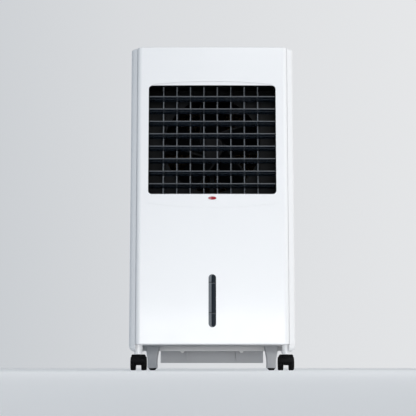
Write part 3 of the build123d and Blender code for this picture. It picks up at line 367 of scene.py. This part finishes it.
def blend_colours(tree, factor, first, second):
    """A drift between two colours over the middle of a noise's range."""
    ramp = tree.nodes.new("ShaderNodeValToRGB")
    ramp.color_ramp.elements[0].position = 0.3
    ramp.color_ramp.elements[1].position = 0.7
    ramp.color_ramp.elements[0].color = (*first, 1.0)
    ramp.color_ramp.elements[1].color = (*second, 1.0)
    tree.links.new(factor, ramp.inputs["Fac"])
    return ramp.outputs["Color"]


def mix_by_place(tree, axis, start, end, first, second):
    """Goes from one colour to another along an axis of the object, in metres."""
    coordinates = tree.nodes.new("ShaderNodeTexCoord")
    split = tree.nodes.new("ShaderNodeSeparateXYZ")
    tree.links.new(coordinates.outputs["Object"], split.inputs["Vector"])
    mix = tree.nodes.new("ShaderNodeMix")
    mix.data_type = "RGBA"
    tree.links.new(spread(tree, split.outputs[axis], 0.0, 1.0, start, end), mix.inputs["Factor"])
    tree.links.new(first, mix.inputs[MIX_FIRST])
    tree.links.new(second, mix.inputs[MIX_SECOND])
    return mix.outputs[MIX_RESULT]


def add_bump(tree, shader, height, distance):
    """Raises the surface by a height, up to a distance in metres."""
    bump = tree.nodes.new("ShaderNodeBump")
    bump.inputs["Strength"].default_value = 1.0
    bump.inputs["Distance"].default_value = distance
    tree.links.new(height, bump.inputs["Height"])
    tree.links.new(bump.outputs["Normal"], shader.inputs["Normal"])


def shade(colour, factor):
    return tuple(c * factor for c in colour)


# ---------------------------------------------------------------- materials
def plastic(name, colour, roughness, grain=900.0, depth=0.00004, mottle=0.03, coat=0.0, specular=0.5):
    """Moulded plastic: slight colour drift, fine grain and uneven gloss."""
    material, tree, shader = new_material(name)
    drift = blend_colours(tree, noise(tree, 7.0), shade(colour, 1.0 - mottle), colour)
    tree.links.new(drift, shader.inputs["Base Color"])
    gloss = spread(tree, noise(tree, 34.0, 5.0), roughness * 0.9, roughness * 1.1)
    tree.links.new(gloss, shader.inputs["Roughness"])
    add_bump(tree, shader, noise(tree, grain, 2.0), depth)
    shader.inputs["Specular IOR Level"].default_value = specular
    shader.inputs["Coat Weight"].default_value = coat
    shader.inputs["Coat Roughness"].default_value = 0.12
    return material


def two_tone(name, axis, start, end, first, second, roughness, coat=0.4):
    """Plastic whose colour changes along an axis: a painted highlight along a blade's front edge, or a
    badge's two enamel colours.
    """
    material, tree, shader = new_material(name)
    first_drift = blend_colours(tree, noise(tree, 60.0), shade(first, 0.9), first)
    second_drift = blend_colours(tree, noise(tree, 60.0), shade(second, 0.9), second)
    colour = mix_by_place(tree, axis, start, end, first_drift, second_drift)
    tree.links.new(colour, shader.inputs["Base Color"])
    gloss = spread(tree, noise(tree, 80.0), roughness * 0.85, roughness * 1.15)
    tree.links.new(gloss, shader.inputs["Roughness"])
    add_bump(tree, shader, noise(tree, 900.0, 2.0), 0.00002)
    shader.inputs["Coat Weight"].default_value = coat
    shader.inputs["Coat Roughness"].default_value = 0.1
    return material


def metal(name, colour, roughness, stretch):
    """Turned or brushed metal, with fine scratches across one axis."""
    material, tree, shader = new_material(name)
    scratches = noise(tree, 420.0, 4.0, stretch)
    tree.links.new(blend_colours(tree, scratches, shade(colour, 0.8), colour), shader.inputs["Base Color"])
    tree.links.new(spread(tree, scratches, roughness * 0.8, roughness * 1.3), shader.inputs["Roughness"])
    shader.inputs["Metallic"].default_value = 1.0
    add_bump(tree, shader, scratches, 0.00003)
    return material


def rubber(name, colour):
    """Matt rubber with a little dust."""
    material, tree, shader = new_material(name)
    dusty = tuple(c * 1.6 + 0.004 for c in colour)
    tree.links.new(blend_colours(tree, noise(tree, 60.0, 6.0), colour, dusty), shader.inputs["Base Color"])
    tree.links.new(spread(tree, noise(tree, 90.0), 0.55, 0.8), shader.inputs["Roughness"])
    add_bump(tree, shader, noise(tree, 1400.0, 3.0), 0.00006)
    return material


vane_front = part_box("vane_1")[0].y
louvre_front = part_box("louvre_1")[0].y
badge_low, badge_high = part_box("badge")
badge_x = (badge_low.x + badge_high.x) / 2

MATERIALS = {
    "white_shell": plastic("white_abs", (0.88, 0.879, 0.883), 0.34, coat=0.2, mottle=0.006, depth=0.00002),
    "base_grey": plastic("base_grey_pp", (0.62, 0.63, 0.65), 0.5),
    "black_plastic": plastic("black_abs", (0.005, 0.0054, 0.006), 0.42, grain=700.0, depth=0.00006,
                             mottle=0.3, specular=0.25),
    "louvre_black": plastic("louvre_abs", (0.014, 0.018, 0.024), 0.2, coat=0.5, mottle=0.2),
    "smoked_lens": plastic("smoked_lens", (0.012, 0.018, 0.026), 0.22, depth=0.00001, coat=0.25,
                           mottle=0.2, specular=0.35),
    "badge_red": two_tone("badge_red", 0, badge_x - 3.4 * MM, badge_x - 1.4 * MM, (0.72, 0.25, 0.27),
                          (0.5, 0.015, 0.03), 0.22, 0.8),
    "tank_blue": plastic("tank_pp", (0.72, 0.8, 0.86), 0.4, mottle=0.04),
    "pad_brown": plastic("pad_cellulose", (0.26, 0.165, 0.075), 0.9, grain=260.0, depth=0.0004, mottle=0.35),
    "motor_steel": metal("motor_can", (0.55, 0.56, 0.58), 0.35, (1.0, 0.1, 1.0)),
    "steel": metal("steel", (0.6, 0.61, 0.63), 0.28, (1.0, 1.0, 0.1)),
    "rubber_black": rubber("rubber_black", (0.008, 0.008, 0.008)),
    "hose_clear": plastic("hose_pvc", (0.7, 0.74, 0.76), 0.3),
    "board_green": plastic("board_green", (0.03, 0.16, 0.06), 0.35, coat=0.3, mottle=0.3),
    "fascia_dark": plastic("fascia_dark", (0.03, 0.033, 0.038), 0.12, coat=0.6, depth=0.00001),
    "button_white": plastic("button_white", (0.8, 0.82, 0.84), 0.35),
    "filter_dark": plastic("filter_dark", (0.06, 0.064, 0.07), 0.7, grain=1600.0, depth=0.0001),
    "caster_black": plastic("caster_nylon", (0.004, 0.004, 0.0045), 0.5, grain=800.0, depth=0.00006,
                            mottle=0.3, specular=0.15),
}
# both kinds of blade have a lighter front edge: a painted highlight, where light would catch the rounded edge
VANE_EDGE_HIGHLIGHT_MATERIAL = two_tone("vane_abs_painted_highlight", 1, vane_front + 2.4 * MM, vane_front + 3.0 * MM, (0.5, 0.52, 0.55),
                         (0.01, 0.011, 0.013), 0.3)
# the louvres' lighter front lip is a painted highlight as well
LOUVRE_EDGE_HIGHLIGHT_MATERIAL = two_tone("louvre_abs_painted_highlight", 1, louvre_front + 2.0 * MM, louvre_front + 3.2 * MM,
                           (0.12, 0.128, 0.14), (0.013, 0.02, 0.031), 0.2)
# light grey strip that paints the reflection on the sight glass's left part
SCALE_GREY_PAINTED_REFLECTION = plastic("scale_strip_painted_reflection", (0.22, 0.235, 0.25), 0.4, mottle=0.06)
MARK_WHITE = plastic("level_mark", (0.3, 0.32, 0.34), 0.4, mottle=0.05)
ICON_WHITE = plastic("icon_print", (0.7, 0.72, 0.74), 0.5, mottle=0.08)
ICON_GREY = plastic("icon_grey", (0.12, 0.13, 0.14), 0.5, mottle=0.1)
LED_BLUE = plastic("led_blue", (0.1, 0.35, 0.7), 0.2, coat=0.8, mottle=0.15)
WIRE_GREY = plastic("wire_grey", (0.2, 0.21, 0.22), 0.5, mottle=0.15)


def dress_nodes():
    """Gives every CAD node the finish of its slot, and the blades their own, with its painted edge highlight.
    """
    for part in record["subparts"]:
        name = part["node"]
        material = MATERIALS[part["material_slot"]]
        if name.startswith("vane_") and name != "vane_link":
            # the vanes' material carries a painted highlight along the front edge
            material = VANE_EDGE_HIGHLIGHT_MATERIAL
        if name.startswith("louvre_") and name != "louvre_link":
            # the louvres' material carries a painted highlight along the front lip
            material = LOUVRE_EDGE_HIGHLIGHT_MATERIAL
        nodes[name].data.materials.clear()
        nodes[name].data.materials.append(material)


dress_nodes()


# ---------------------------------------------------------------- sight glass
def make_sight_glass():
    """A light grey scale strip, which paints the reflection on the glass's left part, behind a bulging dark
    tube with two level marks and a row of ticks.
    """
    low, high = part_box("level_window")
    middle = (low + high) / 2
    height = high.z - low.z - 2 * GLASS_RIM
    width = high.x - low.x - 2 * GLASS_RIM
    front = low.y
    # the light grey plate behind the tube is a painted reflection, laid out as a scale strip
    plate = bmesh.new()
    plate_place = (middle.x, front + PLATE_SET, middle.z)
    add_pillow(plate, plate_place, width - GLASS_PLAY, height - GLASS_PLAY, PLATE_BACK, PLATE_RISE)
    scale = finish_piece(mesh_object("sight_scale", plate), SCALE_GREY_PAINTED_REFLECTION, "cabinet")
    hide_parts("level_window")

    tube = bmesh.new()
    tube_width = TUBE_SHARE * width
    tube_x = high.x - GLASS_RIM - tube_width / 2 - TUBE_EDGE_GAP
    tube_place = (tube_x, front + TUBE_SET, middle.z)
    add_pillow(tube, tube_place, tube_width, height - TUBE_END_GAP, TUBE_BACK, TUBE_RISE, 8)
    finish_piece(mesh_object("sight_tube", tube, 60.0), MATERIALS["smoked_lens"], "cabinet")

    marks = bmesh.new()
    lines = bmesh.new()
    half = tube_width / 2 - MARK_INSET
    for z in MARK_HEIGHTS:
        over_tube = []
        for k in range(ARC_STEPS + 1):
            x = -half + 2 * half * k / ARC_STEPS
            bulge = math.sqrt(max(0.0, 1 - (x / (tube_width / 2)) ** 2))
            over_tube.append((tube_x + x, front + TUBE_SET - MARK_RISE * bulge, z))
        add_tube(marks, [(low.x + MARK_START, front + MARK_SET, z)] + over_tube, MARK_R)
        under = [(x, y, z - LINE_DROP) for x, y, z in over_tube]
        add_tube(lines, [(low.x + LINE_START, front + MARK_SET, z - LINE_DROP)] + under, LINE_R)
    finish_piece(mesh_object("sight_marks", marks), MATERIALS["rubber_black"], "cabinet")
    finish_piece(mesh_object("sight_lines", lines), MARK_WHITE, "cabinet")

    ticks = bmesh.new()
    x = low.x + TICK_START
    for k in range(TICKS):
        z = middle.z - TICK_SPAN / 2 * height + TICK_SPAN * height * k / (TICKS - 1)
        reach = TICK_SHORT if k % 3 else TICK_LONG
        add_tube(ticks, [(x, front + 0.95 * MM, z), (x + reach, front + 0.85 * MM, z)], TICK_R)
    finish_piece(mesh_object("sight_ticks", ticks), ICON_GREY, "cabinet")


# ---------------------------------------------------------------- cooling pad and filter
def make_cooling_pad():
    """Corrugated sheets on edge, leaning alternately up and down through the pad's depth."""
    low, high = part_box("cooling_pad")
    bm = bmesh.new()
    pitch = (high.x - low.x) / PAD_SHEETS
    for sheet in range(PAD_SHEETS):
        lean = 1 if sheet % 2 else -1
        swing = PAD_SWING if 0 < sheet < PAD_SHEETS - 1 else PAD_OUTER_SWING
        grid = []
        for row in range(PAD_ROWS + 1):
            z = low.z + (high.z - low.z) * row / PAD_ROWS
            line = []
            for column in range(PAD_COLUMNS + 1):
                y = low.y + (high.y - low.y) * column / PAD_COLUMNS
                wave = math.sin(FULL_TURN * (z + lean * (y - low.y)) / PAD_WAVE)
                x = low.x + (sheet + 0.5) * pitch + swing * pitch * wave
                line.append(bm.verts.new((x, y, z)))
            grid.append(line)
        for lower, upper in zip(grid, grid[1:]):
            for c in range(PAD_COLUMNS):
                bm.faces.new((lower[c], lower[c + 1], upper[c + 1], upper[c]))
    pad = finish_piece(mesh_object("corrugated_pad", bm, 80.0), MATERIALS["pad_brown"], "cabinet")
    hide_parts("cooling_pad")


def make_dust_filter():
    """A woven screen in a bevelled frame with a cross bar."""
    low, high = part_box("dust_filter")
    middle = (low + high) / 2
    left = low.x + FILTER_BORDER
    right = high.x - FILTER_BORDER
    bottom = low.z + FILTER_BORDER
    top = high.z - FILTER_BORDER
    rim = bmesh.new()
    add_box(rim, low, (high.x, high.y, bottom))
    add_box(rim, (low.x, low.y, top), high)
    add_box(rim, (low.x, low.y, bottom), (left, high.y, top))
    add_box(rim, (right, low.y, bottom), (high.x, high.y, top))
    add_box(rim, (left, low.y, middle.z - FILTER_BAR / 2), (right, high.y, middle.z + FILTER_BAR / 2))
    edges = list(rim.edges)
    bmesh.ops.bevel(rim, geom=edges, offset=FILTER_BEVEL, segments=2, affect="EDGES", profile=0.5)
    black = MATERIALS["filter_dark"]
    border = finish_piece(mesh_object("filter_frame", rim), black, "rear_grille")
    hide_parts("dust_filter")

    screen = bmesh.new()
    columns = round((right - left) / SCREEN_PITCH)
    rows = round((top - bottom) / SCREEN_PITCH)
    xs = [left + (right - left) * i / columns for i in range(columns + 1)]
    zs = [bottom + (top - bottom) * j / rows for j in range(rows + 1)]
    for i, x in enumerate(xs[1:-1]):
        path = [(x, middle.y + (SCREEN_WEAVE if (i + j) % 2 else -SCREEN_WEAVE), z) for j, z in enumerate(zs)]
        add_tube(screen, path, SCREEN_R, 3)
    for j, z in enumerate(zs[1:-1]):
        path = [(x, middle.y + (-SCREEN_WEAVE if (i + j) % 2 else SCREEN_WEAVE), z) for i, x in enumerate(xs)]
        add_tube(screen, path, SCREEN_R, 3)
    finish_piece(mesh_object("filter_screen", screen, 80.0), black, "rear_grille")


# ---------------------------------------------------------------- controls
def icon_power(bm, x, y, z, size, line):
    """An open ring with a stroke through its gap."""
    add_tube(bm, arc((x, y, z), size * 0.8, 120, 420, 24), line)
    add_tube(bm, [(x, y + size * 0.25, z), (x, y + size, z)], line)


def icon_fan(bm, x, y, z, size, line):
    """Three round blades."""
    for turn in range(3):
        a = math.radians(90 + 120 * turn)
        centre = (x + size * 0.55 * math.cos(a), y + size * 0.55 * math.sin(a), z)
        add_tube(bm, ring(centre, size * 0.42, 18, XY), line, closed=True)


def icon_drop(bm, x, y, z, size, line):
    """A drop with its point away from the front."""
    belly = arc((x, y - size * 0.3, z), size * 0.62, 150, 390, 18)
    add_tube(bm, belly + [(x, y + size, z)], line, closed=True)


def icon_swing(bm, x, y, z, size, line):
    """An arc with an arrow head at each end."""
    add_tube(bm, arc((x, y - size * 0.5, z), size * 1.1, 40, 140, 14), line)
    for side in (-1, 1):
        tip_x = x + side * size * 0.84
        tip_y = y + size * 0.2
        upper = (tip_x - side * size * 0.1, tip_y + size * 0.45, z)
        inner = (tip_x - side * size * 0.5, tip_y, z)
        add_tube(bm, [upper, (tip_x, tip_y, z), inner], line)


def make_controls():
    """Line icons and two blank outlines on the fascia, indicator domes, and rings on the key tops."""
    low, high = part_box("control_fascia")
    icons = bmesh.new()
    lamps = bmesh.new()
    for number, draw in enumerate((icon_power, icon_fan, icon_drop, icon_swing), start=1):
        key = f"button_{number}"
        key_low, key_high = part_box(key)
        x = (key_low.x + key_high.x) / 2
        y = (key_low.y + key_high.y) / 2
        draw(icons, x, y + ICON_OFFSET, high.z + ICON_LINE * 0.5, ICON_SIZE, ICON_LINE)
        add_lathe(lamps, LAMP_PROFILE, (x, y - LAMP_OFFSET, high.z - LAMP_SINK), (0, 0, 1), 20)
        key_top = (x, y, key_high.z - KEY_SINK)
        rings = bmesh.new()
        add_tube(rings, ring(key_top, KEY_RING_R, 32, XY), KEY_LINE, closed=True)
        add_tube(rings, ring(key_top, KEY_DOT_R, 12, XY), KEY_LINE, closed=True)
        finish_piece(mesh_object(f"key_ring_{number}", rings), ICON_GREY, key)
    y = (low.y + high.y) / 2
    for side in (-1, 1):
        outline = []
        for right, back, start in ((1, 1, 0), (-1, 1, 90), (-1, -1, 180), (1, -1, 270)):
            corner_x = side * OUTLINE_X + right * OUTLINE_HALF_W
            corner = (corner_x, y + back * OUTLINE_HALF_D, high.z + ICON_LINE * 0.4)
            outline += arc(corner, OUTLINE_CORNER_R, start, start + 90, 6)
        add_tube(icons, outline, ICON_LINE * 0.8, closed=True)
    finish_piece(mesh_object("fascia_icons", icons), ICON_WHITE, "cabinet")
    finish_piece(mesh_object("fascia_lamps", lamps), LED_BLUE, "cabinet")


# ---------------------------------------------------------------- casters
def make_caster_detail():
    """Hub caps with spokes and fine tread rings on every wheel."""
    for side in ("left", "right"):
        body = f"caster_wheels_{side}"
        low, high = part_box(body)
        middle = (low + high) / 2
        radius = (high.z - low.z) / 2
        tread = bmesh.new()
        hubs = bmesh.new()
        for outward, edge in ((-1, low.x), (1, high.x)):
            for step in TREAD_LINES:
                centre = (edge - outward * step, middle.y, middle.z)
                add_tube(tread, ring(centre, radius - TREAD_SINK, 40, YZ), TREAD_R, closed=True)
            hub_place = (edge - outward * HUB_SINK, middle.y, middle.z)
            add_lathe(hubs, HUB_PROFILE, hub_place, (outward, 0, 0), 24)
            spoke_place = (edge - outward * SPOKE_SINK, middle.y, middle.z)
            spoke_starts = ring(spoke_place, SPOKE_INNER, SPOKES, YZ)
            spoke_ends = ring(spoke_place, SPOKE_OUTER, SPOKES, YZ)
            for spoke in zip(spoke_starts, spoke_ends):
                add_tube(hubs, spoke, SPOKE_R)
        rubber_tread = mesh_object(f"caster_tread_{side}", tread)
        finish_piece(rubber_tread, MATERIALS["rubber_black"], body)
        finish_piece(mesh_object(f"caster_hubs_{side}", hubs), WIRE_GREY, body)


# ---------------------------------------------------------------- motor, leads, tank and grille detail
def make_motor_detail():
    """Ribs and two rings on the back of the fan motor's can."""
    low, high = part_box("fan_motor")
    centre = (low + high) / 2
    radius = (high.x - low.x) / 2
    bm = bmesh.new()
    for k in range(MOTOR_RIBS):
        a = FULL_TURN * (k + 0.5) / MOTOR_RIBS
        rib = []
        for share in (RIB_INNER, RIB_OUTER):
            x = centre.x + radius * share * math.cos(a)
            z = centre.z + radius * share * math.sin(a)
            rib.append((x, high.y + RIB_RISE, z))
        add_tube(bm, rib, RIB_R)
    for share, set_in in MOTOR_RINGS:
        place = (centre.x, high.y - set_in, centre.z)
        add_tube(bm, ring(place, radius * share, 48, XZ), MOTOR_RING_R, closed=True)
    finish_piece(mesh_object("motor_ribs", bm), MATERIALS["motor_steel"], "cabinet")


def make_leads():
    """Three wires from the fan motor and three from the vane motor, to the control board."""
    low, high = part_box("fan_motor")
    centre = (low + high) / 2
    motor_top = centre.z + (high.x - low.x) / 2
    board_low, board_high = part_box("control_board")
    swing_low, swing_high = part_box("swing_motor")
    swing_middle = (swing_low + swing_high) / 2
    under_board = board_low.z - 6 * MM
    bm = bmesh.new()
    for shift in (-LEAD_PITCH, 0.0, LEAD_PITCH):
        x = centre.x + shift
        from_fan = [
            (x, centre.y + 6 * MM, motor_top - 1 * MM),
            (x, centre.y + 6 * MM, motor_top + 60 * MM),
            (x + 20 * MM, centre.y - 8 * MM, under_board - 6 * MM),
            (x + 40 * MM, board_high.y + 6 * MM, under_board),
            (x + 40 * MM, board_high.y - 6 * MM, board_low.z + LEAD_END),
        ]
        add_tube(bm, smooth_path(from_fan), LEAD_R)
        x = swing_middle.x + shift
        start_z = swing_high.z - LEAD_END
        from_swing = [
            (x, swing_middle.y, start_z),
            (x, swing_middle.y, start_z + 20 * MM),
            (board_low.x + 30 * MM + shift, board_low.y + 20 * MM, board_low.z + LEAD_END),
        ]
        add_tube(bm, smooth_path(from_swing), LEAD_R)
    finish_piece(mesh_object("internal_leads", bm), WIRE_GREY, "cabinet")


def make_tank_detail():
    """Moulded stiffening beads on the tank's rear wall, and one under its rim."""
    low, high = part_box("water_tank")
    y = high.y + BEAD_RISE
    bm = bmesh.new()
    for share, start in BEADS:
        z = low.z + share * (high.z - low.z)
        add_tube(bm, [(low.x + start, y, z), (high.x - BEAD_END, y, z)], BEAD_R, 8)
    z = high.z - RIM_DROP
    add_tube(bm, [(low.x + RIM_END, y, z), (high.x - RIM_END, y, z)], RIM_R, 8)
    finish_piece(mesh_object("tank_beads", bm), MATERIALS["tank_blue"], "tank")


def make_grille_detail():
    """Finger ridges on the pull-off grille's upper border."""
    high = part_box("rear_grille")[1]
    y = high.y - RIDGE_SINK
    z = high.z - RIDGE_DROP
    bm = bmesh.new()
    for side in (-1, 1):
        for k in range(RIDGES):
            x = side * RIDGE_X + (k - RIDGES // 2) * RIDGE_PITCH
            add_tube(bm, [(x, y, z - RIDGE_HALF), (x, y, z + RIDGE_HALF)], RIDGE_R)
    finish_piece(mesh_object("grille_ridges", bm), MATERIALS["white_shell"], "rear_grille")


def make_gland_ring():
    """A rubber bead round the cord gland's mouth."""
    low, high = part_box("cord_inlet")
    middle = (low + high) / 2
    bm = bmesh.new()
    place = (middle.x, high.y - GLAND_SINK, middle.z)
    add_tube(bm, ring(place, GLAND_RING_R, 36, XZ), GLAND_LINE, closed=True)
    finish_piece(mesh_object("gland_ring", bm), MATERIALS["rubber_black"], "cabinet")


make_sight_glass()
make_cooling_pad()
make_dust_filter()
make_controls()
make_caster_detail()
make_motor_detail()
make_leads()
make_tank_detail()
make_grille_detail()
make_gland_ring()

# ---------------------------------------------------------------- floor, light
FLOOR_REACH = 30.0
FLOOR_COLOURS = ((0.9, 0.91, 0.92), (0.93, 0.94, 0.95))
BRIGHT_SIDE = (1.0, 0.35, 0.25)
# from the side away from the light to the bright one: place, then red, green and blue
WORLD_STEPS = (
    (0.0, (0.1, 0.16, 0.23)),
    (0.35, (0.28, 0.33, 0.38)),
    (0.66, (0.7, 0.715, 0.735)),
    (1.0, (0.98, 0.98, 0.98)),
)
MID_HEIGHT = (0.0, 0.0, 0.5)
BASE_FRONT = (0.0, 0.0, 0.02)
# the low light fills the shell and the base only, as light off a bright floor would
LOW_LIT = (
    "front_panel", "top_cover", "left_side_panel", "right_side_panel", "base_pan", "left_leg", "right_leg",
    "rear_crossbar",
)


def make_floor():
    """A wide pale matt floor."""
    bm = bmesh.new()
    bmesh.ops.create_grid(bm, x_segments=1, y_segments=1, size=FLOOR_REACH)
    floor = mesh_object("floor", bm)
    material, tree, shader = new_material("floor_pale")
    tree.links.new(blend_colours(tree, noise(tree, 2.0), *FLOOR_COLOURS), shader.inputs["Base Color"])
    shader.inputs["Roughness"].default_value = 0.7
    floor.data.materials.append(material)


def make_world():
    """Soft studio surroundings: bright on the right, dimmer and bluer at the front left."""
    world = bpy.data.worlds.new("studio")
    bpy.context.scene.world = world
    world.use_nodes = True
    tree = world.node_tree
    tree.nodes.clear()
    output = tree.nodes.new("ShaderNodeOutputWorld")
    background = tree.nodes.new("ShaderNodeBackground")
    coordinates = tree.nodes.new("ShaderNodeTexCoord")
    toward = tree.nodes.new("ShaderNodeVectorMath")
    toward.operation = "DOT_PRODUCT"
    toward.inputs[1].default_value = Vector(BRIGHT_SIDE).normalized()
    reach = tree.nodes.new("ShaderNodeMapRange")
    reach.inputs["From Min"].default_value = -1.0
    reach.inputs["From Max"].default_value = 1.0
    ramp = tree.nodes.new("ShaderNodeValToRGB")
    steps = ramp.color_ramp.elements
    for place, colour in WORLD_STEPS[1:-1]:
        steps.new(place)
    for step, (place, colour) in zip(steps, WORLD_STEPS):
        step.position = place
        step.color = (*colour, 1.0)
    tree.links.new(coordinates.outputs["Generated"], toward.inputs[0])
    tree.links.new(toward.outputs["Value"], reach.inputs["Value"])
    tree.links.new(reach.outputs["Result"], ramp.inputs["Fac"])
    tree.links.new(ramp.outputs["Color"], background.inputs["Color"])
    tree.links.new(background.outputs["Background"], output.inputs["Surface"])


def area_light(name, place, target, size, power):
    """A soft rectangular light that faces a target; its power is in watts."""
    data = bpy.data.lights.new(name, "AREA")
    data.shape = "RECTANGLE"
    data.size = size[0]
    data.size_y = size[1]
    data.energy = power
    light = bpy.data.objects.new(name, data)
    light.location = place
    light.rotation_euler = (Vector(target) - Vector(place)).to_track_quat("-Z", "Y").to_euler()
    bpy.context.scene.collection.objects.link(light)
    return light


make_floor()
make_world()
area_light("key_right", (2.0, -1.5, 1.3), MID_HEIGHT, (1.2, 1.2), 3.6)
area_light("front_top", (0.4, -2.0, 1.8), MID_HEIGHT, (1.0, 1.0), 8.8)
low_front = area_light("low_front", (0.1, -1.9, 0.12), BASE_FRONT, (1.5, 0.2), 10.0)
low_lit = bpy.data.collections.new("lit_by_low_front")
for node in LOW_LIT:
    low_lit.objects.link(bpy.data.objects[node])
low_front.light_linking.receiver_collection = low_lit
bpy.context.scene.view_settings.view_transform = "Standard"
